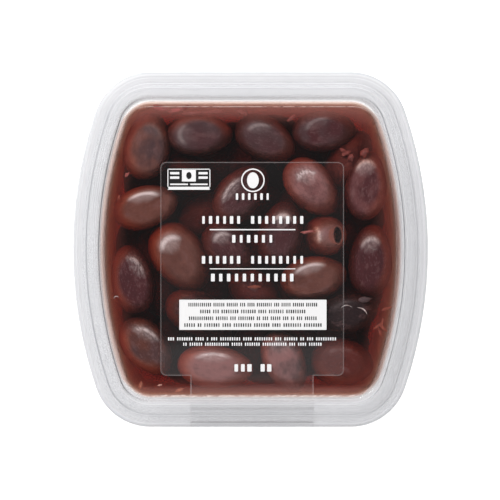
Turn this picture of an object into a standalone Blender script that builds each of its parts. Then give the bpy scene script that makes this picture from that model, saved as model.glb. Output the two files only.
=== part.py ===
"""A shut, clear plastic tub of pitted kalamata olives in brine.

The tub is nearly square, with straight front and back, bowed sides and round corners. A press-on
lid with a sunken panel shuts it, olives fill it up to that panel, and a clear label lies on the
panel with a tab that folds over the rim at the front. The origin is under the middle of the flat
base, +Z is up and the label's tab is at -Y. Lengths are named in millimetres.
"""
import math
import random

import bmesh
import bpy
from mathutils import Euler, Matrix, Vector

MM = 0.001

# The plan, as seen from above: half sizes and radii of the lid's outer edge
HALF_WIDTH = 60.0
HALF_DEPTH = 60.0
SIDE_RADIUS = 145.0
CORNER_RADIUS = 19.3
SIDE_STEPS = 4
CORNER_STEPS = 7

# Heights above the table
LID_TOP_Z = 46.0
PANEL_Z = 42.7
SKIRT_FOOT_Z = 39.0

# Thin walls and the gap between neighbouring pieces
GAP = 0.3
LID_WALL = 0.6
TUB_WALL = 0.7

# Radii of the bends in the lid's and the tub's profiles
SMALL_BEND = 0.4
WIDE_BEND = 0.8
FILLET_STEPS = 3
SHARP_ANGLE = 35.0

# The tub's inner side, as insets from the lid's outer edge
FLOOR_INSET = 16.4
FLOOR_FILLET = 2.6
WALL_TOP_INSET = 10.4
WALL_TOP_Z = 40.3
LEDGE_INSET = 7.6
LEDGE_Z = 41.2
RIM_INSET = 7.4
RIM_WIDTH = 1.2
FLANGE_INSET = 1.4
FLANGE_LIP = 1.2
BEAD_SLOPE = 0.4
FLOOR_CORNER_RADIUS = 9.0

# The lid's ring and its shoulder, as insets from its outer edge
RING_INNER_INSET = 8.4
RING_OUTER_INSET = 4.7
PANEL_INSET = 9.3
PANEL_FLAT = 1.5
SKIRT_FLARE = 0.3
SHOULDER_DROP = 1.2
SHOULDER_SLOPE = 0.45

# The clear label
LABEL_LEFT = -30.5
LABEL_RIGHT = 31.6
LABEL_BACK = 29.6
LABEL_FRONT = -42.7
LABEL_CORNER = 2.0
TAB_LEFT = -20.3
TAB_RIGHT = 21.3
TAB_FOOT_Z = 40.0
TAB_LIFT_RUN = 3.6
TAB_LIFT = 0.7
LABEL_THICKNESS = 0.2

# The olives
OLIVE_SEED = 7
TOP_OLIVE_SIDES = 10
TOP_OLIVE_RINGS = 7
TOP_PRESS = 1.2
FLAT_STEP = 0.02
SIDE_OLIVE_SIDES = 8
SIDE_OLIVE_RINGS = 5
SIDE_OLIVE_LENGTH = 23.0
SIDE_OLIVE_WIDTH = 14.6
SIDE_OLIVE_PITCH = 25.0
SIDE_LAYERS_Z = (9.0, 22.5)
SIDE_CLEARANCE = 1.2
SIDE_LEAN = 14.0
SIDE_SHIFT = 0.4
FLOOR_OLIVE_PITCH = 20.0
STALK_FULLNESS = 0.10
CORE_CORNER = 4.0
PATH_CORNER = 12.0
CORE_WALL_DISTANCE = 8.0
CORE_FLOOR_Z = 5.0
CORE_TOP_Z = 34.0

# Each olive that shows under the lid: where its middle lies along X and Y, the turn of its long
# axis in degrees, its length, its width, and how much deeper than the best pressed ones it lies
TOP_OLIVES = (
    (-34.0, 33.6, 80.0, 23.0, 15.2, 0.0),
    (-17.0, 40.0, 2.0, 24.0, 15.0, 0.0),
    (5.5, 37.6, -28.0, 22.0, 15.0, 0.4),
    (24.4, 40.2, 3.0, 24.0, 14.6, 0.0),
    (-36.0, 15.6, 14.0, 22.5, 14.4, 0.0),
    (-9.4, 15.6, 60.0, 22.0, 14.6, 0.5),
    (22.4, 20.8, -68.0, 22.5, 15.0, 0.0),
    (38.4, 20.0, 84.0, 24.0, 14.0, 0.0),
    (-23.4, 0.8, -52.0, 25.5, 16.8, 0.0),
    (-8.6, -3.4, 80.0, 22.0, 14.0, 0.6),
    (8.6, 12.4, 20.0, 20.5, 14.0, 0.9),
    (25.4, 4.6, 8.0, 22.5, 14.4, 0.3),
    (40.6, -5.2, 86.0, 24.0, 14.0, 0.2),
    (-39.6, -11.2, 78.0, 23.0, 14.2, 0.2),
    (20.8, -10.4, 12.0, 23.5, 15.4, 0.0),
    (2.4, -13.6, -40.0, 23.0, 14.6, 0.8),
    (-18.4, -17.6, -20.0, 23.0, 14.8, 0.5),
    (-34.4, -32.4, -15.0, 19.5, 15.4, 0.0),
    (-14.6, -33.4, 24.0, 22.5, 14.6, 0.6),
    (-10.8, -42.0, 6.0, 22.5, 10.5, 1.8),
    (11.2, -36.4, -70.0, 22.0, 15.0, 0.0),
    (32.2, -35.6, -12.0, 20.0, 15.2, 0.0),
    (34.6, -22.2, 10.0, 18.5, 13.8, 0.4),
)


def outline(inset, corner_radius=None):
    """Points of the plan at an inset from the lid's edge, anticlockwise from +X."""
    half_x = HALF_WIDTH - inset
    half_y = HALF_DEPTH - inset
    side_radius = SIDE_RADIUS - inset
    corner = CORNER_RADIUS - inset if corner_radius is None else corner_radius
    side_centre = half_x - side_radius
    corner_y = half_y - corner
    corner_x = side_centre + math.sqrt((side_radius - corner) ** 2 - corner_y**2)
    tangent = math.asin(corner_y / (side_radius - corner))
    quarter = []
    for step in range(SIDE_STEPS):
        angle = tangent * step / SIDE_STEPS
        quarter.append((side_centre + side_radius * math.cos(angle), side_radius * math.sin(angle)))
    for step in range(CORNER_STEPS + 1):
        angle = tangent + (math.pi / 2 - tangent) * step / CORNER_STEPS
        quarter.append((corner_x + corner * math.cos(angle), corner_y + corner * math.sin(angle)))
    back = quarter + [(-x, y) for x, y in reversed(quarter)]
    front = [(-x, -y) for x, y in quarter[1:]] + [(x, -y) for x, y in reversed(quarter[1:])]
    return back + front


def corner_radius_at(inset):
    """The plan's corner radius, which the tub's lower wall widens towards the floor."""
    if inset <= WALL_TOP_INSET:
        return CORNER_RADIUS - inset
    share = (inset - WALL_TOP_INSET) / (FLOOR_INSET - WALL_TOP_INSET)
    top_radius = CORNER_RADIUS - WALL_TOP_INSET
    return top_radius + (FLOOR_CORNER_RADIUS - top_radius) * min(share, 1.0)


def filleted(corners):
    """A profile of (inset, height) points from (inset, height, radius) corners."""
    points = []
    for index, (inset, height, radius) in enumerate(corners):
        here = Vector((inset, height))
        if radius == 0.0:
            points.append(here)
            continue
        before = (Vector(corners[index - 1][:2]) - here).normalized()
        after = (Vector(corners[index + 1][:2]) - here).normalized()
        half_angle = before.angle(after) / 2
        centre = here + (before + after).normalized() * radius / math.sin(half_angle)
        start = here + before * radius / math.tan(half_angle) - centre
        end = here + after * radius / math.tan(half_angle) - centre
        sweep = start.angle_signed(end)
        for step in range(FILLET_STEPS + 1):
            turn = Matrix.Rotation(-sweep * step / FILLET_STEPS, 2)
            points.append(centre + turn @ start)
    return points


def shifted(corners, distance):
    """The corners of the same wall's other side, to the left of the profile's run."""
    moved = []
    for index, (inset, height, radius) in enumerate(corners):
        here = Vector((inset, height))
        before = Vector(corners[index - 1][:2]) if index > 0 else here
        after = Vector(corners[index + 1][:2]) if index < len(corners) - 1 else here
        into = (here - before if index > 0 else after - here).normalized()
        out = (after - here if index < len(corners) - 1 else here - before).normalized()
        left = Vector((-into.y - out.y, into.x + out.x))
        spot = here + left.normalized() * distance * 2 / left.length
        turns_left = into.x * out.y - into.y * out.x > 0
        moved.append((spot.x, spot.y, max(radius - distance if turns_left else radius + distance, 0.0)))
    moved[0] = (*moved[0][:2], 0.0)
    moved[-1] = (*moved[-1][:2], 0.0)
    return moved


def new_object(name, bm, material):
    """A named object from a closed mesh, with its faces turned outwards."""
    bmesh.ops.recalc_face_normals(bm, faces=bm.faces)
    mesh = bpy.data.meshes.new(name)
    bm.to_mesh(mesh)
    bm.free()
    mesh.materials.append(material)
    mesh.shade_smooth()
    mesh.set_sharp_from_angle(angle=math.radians(SHARP_ANGLE))
    thing = bpy.data.objects.new(name, mesh)
    bpy.context.scene.collection.objects.link(thing)
    return thing


def swept_shell(name, profile, material):
    """A closed body whose profile runs from one middle panel, out, round and back to the other."""
    bm = bmesh.new()
    rings = []
    for inset, height in profile:
        plan = outline(inset, corner_radius_at(inset))
        rings.append([bm.verts.new((x * MM, y * MM, height * MM)) for x, y in plan])
    for lower, upper in zip(rings, rings[1:]):
        for index in range(len(lower)):
            following = (index + 1) % len(lower)
            bm.faces.new((lower[index], lower[following], upper[following], upper[index]))
    bm.faces.new(rings[0])
    bm.faces.new(rings[-1])
    return new_object(name, bm, material)


def plastic(name, colour, roughness):
    """A plain material, for the tub, the lid, the label or the olives."""
    material = bpy.data.materials.new(name)
    material.use_nodes = True
    shader = material.node_tree.nodes["Principled BSDF"]
    shader.inputs["Base Color"].default_value = (*colour, 1.0)
    shader.inputs["Roughness"].default_value = roughness
    shader.inputs["Metallic"].default_value = 0.0
    return material


def flange_z(inset):
    """The height of the tub's flange, which slopes down outwards under the lid's shoulder."""
    slope = SHOULDER_SLOPE / (RING_OUTER_INSET - GAP)
    return LID_TOP_Z - SHOULDER_DROP - LID_WALL - GAP - slope * (RING_OUTER_INSET - inset)


def build_tub(material):
    """The thin tub: floor, tapered wall, ledge under the lid's panel, rim and outer flange."""
    rim_z = LID_TOP_Z - LID_WALL - GAP
    rim_outer = RIM_INSET - RIM_WIDTH
    foot_z = flange_z(FLANGE_INSET) - FLANGE_LIP
    inner = [
        (FLOOR_INSET + FLOOR_FILLET, TUB_WALL, 0.0),
        (FLOOR_INSET, TUB_WALL, FLOOR_FILLET - TUB_WALL),
        (WALL_TOP_INSET, WALL_TOP_Z, WIDE_BEND),
        (LEDGE_INSET, LEDGE_Z, SMALL_BEND),
        (RIM_INSET, rim_z, SMALL_BEND),
        (rim_outer, rim_z, SMALL_BEND),
        (rim_outer - BEAD_SLOPE, flange_z(rim_outer), 0.0),
        (FLANGE_INSET, flange_z(FLANGE_INSET), SMALL_BEND),
        (FLANGE_INSET, foot_z, 0.0),
    ]
    outer = [
        (FLOOR_INSET + FLOOR_FILLET, 0.0, 0.0),
        (FLOOR_INSET - TUB_WALL, 0.0, FLOOR_FILLET),
        (WALL_TOP_INSET - TUB_WALL, WALL_TOP_Z - TUB_WALL / 2, 0.0),
        (LEDGE_INSET - TUB_WALL, LEDGE_Z - TUB_WALL / 2, WIDE_BEND),
        (RIM_INSET - TUB_WALL, flange_z(RIM_INSET) - TUB_WALL, SMALL_BEND),
        (FLANGE_INSET + TUB_WALL, flange_z(FLANGE_INSET) - TUB_WALL, 0.0),
        (FLANGE_INSET + TUB_WALL, foot_z, 0.0),
    ]
    return swept_shell("tub", filleted(inner) + filleted(outer)[::-1], material)


def build_lid(material):
    """The thin lid: panel, wall of the recess, ring, shoulder and skirt, and its underside."""
    shoulder_z = LID_TOP_Z - SHOULDER_DROP
    top = [
        (PANEL_INSET + PANEL_FLAT, PANEL_Z, 0.0),
        (PANEL_INSET, PANEL_Z, SMALL_BEND),
        (RING_INNER_INSET, LID_TOP_Z, WIDE_BEND),
        (RING_OUTER_INSET, LID_TOP_Z, WIDE_BEND),
        (RING_OUTER_INSET - BEAD_SLOPE, shoulder_z, SMALL_BEND),
        (SKIRT_FLARE, shoulder_z - SHOULDER_SLOPE, WIDE_BEND),
        (0.0, SKIRT_FOOT_Z, 0.0),
    ]
    under = shifted(top, LID_WALL)
    return swept_shell("lid", filleted(top) + filleted(under)[::-1], material)


def label_plan():
    """The label's flat outline, anticlockwise from the tab's right root round to its left root."""
    corners = (
        (LABEL_RIGHT, LABEL_FRONT, -90.0),
        (LABEL_RIGHT, LABEL_BACK, 0.0),
        (LABEL_LEFT, LABEL_BACK, 90.0),
        (LABEL_LEFT, LABEL_FRONT, 180.0),
    )
    points = [(TAB_RIGHT, LABEL_FRONT)]
    for x, y, start in corners:
        centre_x = x - math.copysign(LABEL_CORNER, x)
        centre_y = y - math.copysign(LABEL_CORNER, y)
        for step in range(FILLET_STEPS + 1):
            angle = math.radians(start + 90.0 * step / FILLET_STEPS)
            points.append((
                centre_x + LABEL_CORNER * math.cos(angle),
                centre_y + LABEL_CORNER * math.sin(angle),
            ))
    points.append((TAB_LEFT, LABEL_FRONT))
    return points


def tab_route():
    """The tab's way over the rim: (depth, height) points from the label's front edge."""
    edge = -HALF_DEPTH
    panel_z = PANEL_Z + GAP
    ring_z = LID_TOP_Z + GAP
    shoulder_z = ring_z - SHOULDER_DROP - SHOULDER_SLOPE
    ring_inner = edge + RING_INNER_INSET
    ring_outer = edge + RING_OUTER_INSET
    return (
        (LABEL_FRONT - TAB_LIFT_RUN / 2, panel_z + TAB_LIFT / 6),
        (LABEL_FRONT - TAB_LIFT_RUN, panel_z + TAB_LIFT),
        (ring_inner + SMALL_BEND, ring_z - SMALL_BEND / 2),
        (ring_inner - WIDE_BEND, ring_z),
        (ring_outer + WIDE_BEND, ring_z),
        (ring_outer - WIDE_BEND, ring_z - SMALL_BEND),
        (edge + WIDE_BEND, shoulder_z + SMALL_BEND / 4),
        (edge + WIDE_BEND / 4, shoulder_z - SMALL_BEND),
        (edge - GAP, shoulder_z - 2 * WIDE_BEND),
        (edge - GAP, TAB_FOOT_Z),
    )


def build_label(material):
    """The clear film on the panel, one face and a run of tab faces thickened upwards."""
    bm = bmesh.new()
    base_z = PANEL_Z + GAP
    flat = [bm.verts.new((x * MM, y * MM, base_z * MM)) for x, y in label_plan()]
    bm.faces.new(flat)
    left, right = flat[-1], flat[0]
    for depth, height in tab_route():
        next_left = bm.verts.new((TAB_LEFT * MM, depth * MM, height * MM))
        next_right = bm.verts.new((TAB_RIGHT * MM, depth * MM, height * MM))
        bm.faces.new((right, left, next_left, next_right))
        left, right = next_left, next_right
    bm.normal_update()
    mesh = bpy.data.meshes.new("label")
    bm.to_mesh(mesh)
    bm.free()
    mesh.materials.append(material)
    label = bpy.data.objects.new("label", mesh)
    bpy.context.scene.collection.objects.link(label)
    solid = label.modifiers.new("film", "SOLIDIFY")
    solid.thickness = LABEL_THICKNESS * MM
    solid.offset = 1.0
    solid.use_even_offset = True
    return label


def olive(name, length, width, sides, rings, matrix, material, flat_z=LID_TOP_Z):
    """One olive along its own X, blunt at the stalk and pressed flat where it would pass flat_z."""
    bm = bmesh.new()
    loops = []
    for ring in range(1, rings):
        along = -math.cos(math.pi * ring / rings)
        girth = math.sqrt(1 - along**2) * (1 - STALK_FULLNESS * along)
        loops.append([
            bm.verts.new((
                length / 2 * along,
                width / 2 * girth * math.cos(2 * math.pi * side / sides),
                width / 2 * girth * math.sin(2 * math.pi * side / sides),
            ))
            for side in range(sides)
        ])
    for lower, upper in zip(loops, loops[1:]):
        for side in range(sides):
            following = (side + 1) % sides
            bm.faces.new((lower[side], lower[following], upper[following], upper[side]))
    for loop, tip in ((loops[0], -length / 2), (loops[-1], length / 2)):
        point = bm.verts.new((tip, 0.0, 0.0))
        for side in range(sides):
            bm.faces.new((loop[side], loop[(side + 1) % sides], point))
    bmesh.ops.transform(bm, matrix=matrix, verts=bm.verts)
    for corner in bm.verts:
        corner.co.z = min(corner.co.z, flat_z * MM)
    return new_object(name, bm, material)


def placed(x, y, z, turn, lean=0.0):
    """Where an olive lies, in metres, with its long axis leaning and then turned about Z."""
    turned = Euler((0.0, math.radians(lean), math.radians(turn))).to_matrix().to_4x4()
    return Matrix.Translation(Vector((x, y, z)) * MM) @ turned @ Matrix.Scale(MM, 4)


def wall_inset(height):
    """The inset of the tub's inner wall at a height."""
    share = (height - TUB_WALL) / (WALL_TOP_Z - TUB_WALL)
    return FLOOR_INSET + (WALL_TOP_INSET - FLOOR_INSET) * share


def along_plan(inset, count, start):
    """Places evenly spaced along the plan at an inset, each with the plan's direction there."""
    plan = [Vector(point) for point in outline(inset, PATH_CORNER)]
    runs = [(a, b) for a, b in zip(plan, plan[1:] + plan[:1])]
    total = sum((b - a).length for a, b in runs)
    places = []
    for index in range(count):
        left = total * ((index + start) / count % 1.0)
        for a, b in runs:
            span = (b - a).length
            if left <= span:
                break
            left -= span
        direction = (b - a).normalized()
        spot = a + direction * left
        places.append((spot.x, spot.y, math.degrees(math.atan2(direction.y, direction.x))))
    return places, total


def side_olives():
    """Places of the olives that show through the tub's wall and floor, in two layers."""
    rng = random.Random(OLIVE_SEED)
    found = []
    for layer, height in enumerate(SIDE_LAYERS_Z):
        inset = wall_inset(height) + SIDE_CLEARANCE + SIDE_OLIVE_WIDTH / 2
        count = round(along_plan(inset, 1, 0.0)[1] / SIDE_OLIVE_PITCH)
        for x, y, turn in along_plan(inset, count, 0.5 * layer)[0]:
            lean = rng.uniform(-SIDE_LEAN, SIDE_LEAN)
            shift = rng.uniform(-SIDE_SHIFT, SIDE_SHIFT)
            found.append((x, y, height + shift, turn, lean))
    for row in (-1, 0, 1):
        for column in (-1, 0, 1):
            turn = rng.uniform(0.0, 180.0)
            found.append((column * FLOOR_OLIVE_PITCH, row * FLOOR_OLIVE_PITCH, SIDE_LAYERS_Z[0], turn, 0.0))
    return found


def build_core(material):
    """The heap's plain core, a block with the tub's plan that the olives stand out of."""
    bm = bmesh.new()
    rings = []
    for height in (CORE_FLOOR_Z, CORE_TOP_Z):
        plan = outline(wall_inset(height) + CORE_WALL_DISTANCE, CORE_CORNER)
        rings.append([bm.verts.new((x * MM, y * MM, height * MM)) for x, y in plan])
    floor, top = rings
    for index in range(len(floor)):
        following = (index + 1) % len(floor)
        bm.faces.new((floor[index], floor[following], top[following], top[index]))
    bm.faces.new(floor)
    bm.faces.new(top)
    return new_object("olives", bm, material)


def build_olives(material):
    """The heap: the core with every olive that shows fused on to it."""
    heap = build_core(material)
    ceiling = PANEL_Z - LID_WALL - GAP
    pieces = []
    for number, (x, y, turn, length, width, drop) in enumerate(TOP_OLIVES):
        place = placed(x, y, ceiling + TOP_PRESS - drop - width / 2, turn)
        size = (length, width, TOP_OLIVE_SIDES, TOP_OLIVE_RINGS)
        flat_z = ceiling - FLAT_STEP * number
        pieces.append(olive(f"top_{number}", *size, place, material, flat_z))
    for number, (x, y, z, turn, lean) in enumerate(side_olives()):
        place = placed(x, y, z, turn, lean)
        size = (SIDE_OLIVE_LENGTH, SIDE_OLIVE_WIDTH, SIDE_OLIVE_SIDES, SIDE_OLIVE_RINGS)
        pieces.append(olive(f"side_{number}", *size, place, material))

    group = bpy.data.collections.new("fused_olives")
    bpy.context.scene.collection.children.link(group)
    for piece in pieces:
        bpy.context.scene.collection.objects.unlink(piece)
        group.objects.link(piece)
    union = heap.modifiers.new("fuse", "BOOLEAN")
    union.operation = "UNION"
    union.operand_type = "COLLECTION"
    union.collection = group
    union.solver = "EXACT"
    fused_heap = heap.evaluated_get(bpy.context.evaluated_depsgraph_get())
    heap.data = bpy.data.meshes.new_from_object(fused_heap)
    heap.modifiers.remove(union)
    for piece in pieces:
        bpy.data.objects.remove(piece)
    bpy.data.collections.remove(group)


def main():
    """Clear the scene and build the four pieces."""
    for thing in list(bpy.data.objects):
        bpy.data.objects.remove(thing)
    build_tub(plastic("tub_plastic", (0.86, 0.87, 0.88), 0.35))
    build_lid(plastic("lid_plastic", (0.90, 0.90, 0.91), 0.25))
    build_olives(plastic("olive_skin", (0.13, 0.05, 0.045), 0.30))
    build_label(plastic("label_film", (0.16, 0.10, 0.10), 0.15))


main()
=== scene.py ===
# %% [markdown]
# # A shut, clear tub of pitted kalamata olives
# The imported solids give every size: a thin tub, a press-on lid, the heap of olives and a label.
# This lesson dresses them. Each cell makes one piece or one finish, and prints what it made.
# The first lines load the solids.

# %% Load the imported solids
import math
import random

import bpy
import numpy as np
from mathutils import Euler, Matrix, Vector, noise


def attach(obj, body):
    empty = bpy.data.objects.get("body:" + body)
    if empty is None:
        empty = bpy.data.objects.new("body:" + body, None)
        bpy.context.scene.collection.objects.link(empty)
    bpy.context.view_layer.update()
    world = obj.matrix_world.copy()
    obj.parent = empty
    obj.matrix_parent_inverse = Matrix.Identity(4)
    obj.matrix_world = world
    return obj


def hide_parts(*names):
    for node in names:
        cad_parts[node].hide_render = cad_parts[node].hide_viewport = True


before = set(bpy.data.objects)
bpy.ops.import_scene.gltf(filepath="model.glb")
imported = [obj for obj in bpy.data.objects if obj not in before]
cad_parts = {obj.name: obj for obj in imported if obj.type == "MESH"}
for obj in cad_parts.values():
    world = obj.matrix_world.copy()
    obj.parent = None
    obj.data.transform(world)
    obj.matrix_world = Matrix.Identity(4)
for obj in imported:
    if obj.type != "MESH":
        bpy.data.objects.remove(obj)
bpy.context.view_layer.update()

MM = 0.001

# %% [markdown]
# ## Helpers for meshes
# Every piece here is worked out as rows of points in millimetres. `make_piece` turns them into a
# smooth mesh in metres that rides on the tub. `mark` keeps a number, a vector or a colour for each
# point, such as how far in from the edge it lies, and the piece's finish reads it back.

# %% Mesh helpers
SHARP_ANGLE = 35.0
LAYER_FIELD = {"FLOAT": "value", "FLOAT_VECTOR": "vector", "FLOAT_COLOR": "color"}


def placed(name, data, location=(0, 0, 0)):
    """A new object in the scene that shows a mesh, a light or a camera."""
    thing = bpy.data.objects.new(name, data)
    thing.location = location
    bpy.context.scene.collection.objects.link(thing)
    return thing


def make_piece(name, points, faces, materials):
    """A smooth mesh from points in millimetres, riding on the one body."""
    mesh = bpy.data.meshes.new(name)
    mesh.from_pydata((np.asarray(points, float) * MM).tolist(), [], faces)
    for material in materials:
        mesh.materials.append(material)
    mesh.shade_smooth()
    mesh.set_sharp_from_angle(angle=math.radians(SHARP_ANGLE))
    piece = placed(name, mesh)
    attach(piece, "root")
    triangles = sum(len(face) - 2 for face in faces)
    print(f"{name}: {len(points)} points, {triangles} triangles")
    return piece


def mark(piece, name, values, kind="FLOAT"):
    """Keeps one value for each point of a piece, under a name that its finish reads."""
    layer = piece.data.attributes.new(name, kind, "POINT")
    layer.data.foreach_set(LAYER_FIELD[kind], np.asarray(values, np.float32).ravel())


# %% [markdown]
# ## Sums of shader sockets
# A finish is a small web of shader nodes. Writing it as sums keeps it readable: `Wire` wraps a
# socket, and each sign between two wires, or a wire and a number, adds one Math node.

# %% Shader sums
def maths(operation, swapped=False):
    """A method for Wire that adds one Math node of this kind."""
    def method(self, other=0.0):
        first, second = (other, self) if swapped else (self, other)
        return self.finish.add("ShaderNodeMath", {"operation": operation}, {0: first, 1: second})
    return method


class Wire:
    """One shader socket that Python arithmetic works on."""

    def __init__(self, finish, socket):
        self.finish = finish
        self.socket = socket

    __add__, __radd__ = maths("ADD"), maths("ADD", swapped=True)
    __sub__, __rsub__ = maths("SUBTRACT"), maths("SUBTRACT", swapped=True)
    __mul__, __rmul__ = maths("MULTIPLY"), maths("MULTIPLY", swapped=True)
    __truediv__, __pow__, __abs__ = maths("DIVIDE"), maths("POWER"), maths("ABSOLUTE")
    at_most, at_least = maths("MINIMUM"), maths("MAXIMUM")


# %% [markdown]
# ## A finish
# `Finish` holds a material and adds any node to it from its type, its settings and its sockets.
# Its other helpers are what most finishes here need: a smooth rise, a line, a mix of two colours,
# a cloud of noise, a fine relief and a veil over another shader.

# %% Finish helpers
class Finish:
    """A material in the making, with one Principled shader to start from."""

    def __init__(self, name, **fixed):
        self.material = bpy.data.materials.new(name)
        self.material.use_nodes = True
        self.tree = self.material.node_tree
        self.shader = self.tree.nodes["Principled BSDF"]
        self.output = self.tree.nodes["Material Output"]
        for socket, value in fixed.items():
            self.shader.inputs[socket.replace("_", " ")].default_value = value

    def put(self, socket, value):
        """Links a wire to a socket, or sets a plain number, vector or colour on it."""
        if isinstance(value, Wire):
            self.tree.links.new(value.socket, socket)
        else:
            socket.default_value = value

    def add(self, kind, settings=None, sockets=None, out=0):
        """Adds one node of any type and returns one of its outputs as a wire."""
        node = self.tree.nodes.new(kind)
        for name, value in (settings or {}).items():
            setattr(node, name, value)
        for name, value in (sockets or {}).items():
            self.put(node.inputs[name], value)
        return Wire(self, node.outputs[out])

    def feed(self, **wires):
        """Feeds the Principled shader's sockets, with _ for a space in a socket's name."""
        for socket, value in wires.items():
            self.put(self.shader.inputs[socket.replace("_", " ")], value)

    def marked(self, name, out="Fac"):
        """What a piece keeps for each point under this name."""
        return self.add("ShaderNodeAttribute", {"attribute_name": name}, out=out)

    def place(self):
        """The place of each point of the surface, in metres."""
        return self.add("ShaderNodeTexCoord", out="Object")

    def parts(self, vector):
        """The x, y and z of a vector, as three wires."""
        node = self.add("ShaderNodeSeparateXYZ", {}, {0: vector}).socket.node
        return [Wire(self, socket) for socket in node.outputs]

    def rise(self, wire, low, high):
        """0 below low, 1 above high and a smooth rise between them."""
        limits = {"Value": wire, "From Min": low, "From Max": high}
        return self.add("ShaderNodeMapRange", {"interpolation_type": "SMOOTHSTEP"}, limits)

    def line(self, wire, middle, width):
        """1 where a wire's value is at the middle, fading to 0 at half the width to each side."""
        return 1.0 - self.rise(abs(wire - middle), 0.0, width / 2)

    def blend(self, share, first, second):
        """Mixes two colours."""
        sockets = {0: share, 6: first, 7: second}
        return self.add("ShaderNodeMix", {"data_type": "RGBA"}, sockets, out=2)

    def grain(self, place, scale, detail=2.0, stretch=(1.0, 1.0, 1.0)):
        """A cloud of soft noise over a place, stretched along its axes."""
        where = self.add("ShaderNodeVectorMath", {"operation": "MULTIPLY"}, {0: place, 1: stretch})
        sockets = {"Vector": where, "Scale": scale, "Detail": detail}
        return self.add("ShaderNodeTexNoise", {}, sockets, out="Fac")

    def relief(self, height, depth):
        """A fine relief of so many metres on the surface, fed to Normal."""
        self.feed(Normal=self.add("ShaderNodeBump", {}, {"Height": height, "Distance": depth}))

    def veil(self, share, under):
        """Shows the Principled shader as a veil, of this share, over another shader."""
        own = Wire(self, self.shader.outputs[0])
        whole = self.add("ShaderNodeMixShader", {}, {0: share, 1: under, 2: own})
        self.put(self.output.inputs["Surface"], whole)


def colour(red, green, blue, gain=1.0):
    """A colour given in display values, as the linear values that shaders use."""
    linear = []
    for value in (red, green, blue):
        share = value / 255
        share = share / 12.92 if share < 0.04045 else ((share + 0.055) / 1.055) ** 2.4
        linear.append(gain * share)
    return (*linear, 1.0)


# %% [markdown]
# ## The plan
# Seen from above the tub is nearly square: straight front and back, bowed sides, round corners.
# Every band of the rim runs at its own inset from the same outer edge, so one function gives the
# plan at any inset. Half of the outline is worked out, and turned round it gives the other half.

# %% Plan
HALF_WIDTH = 60.0
HALF_DEPTH = 60.0
SIDE_RADIUS = 145.0
CORNER_RADIUS = 19.3
SIDE_STEPS = 12
CORNER_STEPS = 16
WALL_TOP_INSET = 10.4
FLOOR_INSET = 16.4
FLOOR_CORNER_RADIUS = 9.0


def plan(inset, corner_radius=None):
    """Points of the plan at an inset from the lid's edge, anticlockwise from +X."""
    half_x = HALF_WIDTH - inset
    half_y = HALF_DEPTH - inset
    side_radius = SIDE_RADIUS - inset
    corner = CORNER_RADIUS - inset if corner_radius is None else corner_radius
    side_centre = half_x - side_radius
    corner_y = half_y - corner
    corner_x = side_centre + math.sqrt((side_radius - corner) ** 2 - corner_y**2)
    tangent = math.asin(corner_y / (side_radius - corner))
    side = tangent * np.arange(SIDE_STEPS) / SIDE_STEPS
    bend = tangent + (math.pi / 2 - tangent) * np.arange(CORNER_STEPS + 1) / CORNER_STEPS
    quarter = np.column_stack([
        np.append(side_centre + side_radius * np.cos(side), corner_x + corner * np.cos(bend)),
        np.append(side_radius * np.sin(side), corner_y + corner * np.sin(bend)),
    ])
    back = np.concatenate([quarter, quarter[::-1] * (-1, 1)])
    return np.concatenate([back, -back[1:-1]])


def outward(path, closed=True):
    """The unit direction to the right of a path's run at each of its (x, y) places."""
    ahead = np.roll(path, -1, axis=0) - np.roll(path, 1, axis=0)
    if not closed:
        ahead[0], ahead[-1] = path[1] - path[0], path[-1] - path[-2]
    return np.column_stack([ahead[:, 1], -ahead[:, 0]]) / np.linalg.norm(ahead, axis=1)[:, None]


def corner_radius_at(inset):
    """The plan's corner radius, which the tub's lower wall widens towards the floor."""
    if inset <= WALL_TOP_INSET:
        return CORNER_RADIUS - inset
    share = (inset - WALL_TOP_INSET) / (FLOOR_INSET - WALL_TOP_INSET)
    top_radius = CORNER_RADIUS - WALL_TOP_INSET
    return top_radius + (FLOOR_CORNER_RADIUS - top_radius) * min(share, 1.0)


ring_count = len(plan(0.0))
print("plan points:", ring_count)

# %% [markdown]
# ## The bends of moulded plastic
# A profile is a short list of corners, each with its bend radius. `filleted` rounds them with more
# steps than the solids have, so that highlights run smoothly, and `shifted` gives the corners of
# the wall's other side.

# %% Profiles
FILLET_STEPS = 6


def filleted(corners):
    """A profile of (inset, height) points from (inset, height, bend radius) corners."""
    points = []
    for index, (inset, height, radius) in enumerate(corners):
        here = Vector((inset, height))
        if radius == 0.0:
            points.append(here)
            continue
        before = (Vector(corners[index - 1][:2]) - here).normalized()
        after = (Vector(corners[index + 1][:2]) - here).normalized()
        half_angle = before.angle(after) / 2
        centre = here + (before + after).normalized() * radius / math.sin(half_angle)
        start = here + before * radius / math.tan(half_angle) - centre
        end = here + after * radius / math.tan(half_angle) - centre
        sweep = start.angle_signed(end)
        for step in range(FILLET_STEPS + 1):
            points.append(centre + Matrix.Rotation(-sweep * step / FILLET_STEPS, 2) @ start)
    return points


def shifted(corners, distance):
    """The corners of the same wall's other side, to the left of the profile's run."""
    moved = []
    for index, (inset, height, radius) in enumerate(corners):
        here = Vector((inset, height))
        before = Vector(corners[index - 1][:2]) if index > 0 else here
        after = Vector(corners[index + 1][:2]) if index < len(corners) - 1 else here
        into = (here - before if index > 0 else after - here).normalized()
        out = (after - here if index < len(corners) - 1 else here - before).normalized()
        left = Vector((-into.y - out.y, into.x + out.x))
        spot = here + left.normalized() * distance * 2 / left.length
        turns_left = into.x * out.y - into.y * out.x > 0
        bend = radius - distance if turns_left else radius + distance
        moved.append((spot.x, spot.y, max(bend, 0.0)))
    moved[0] = (*moved[0][:2], 0.0)
    moved[-1] = (*moved[-1][:2], 0.0)
    return moved


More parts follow.
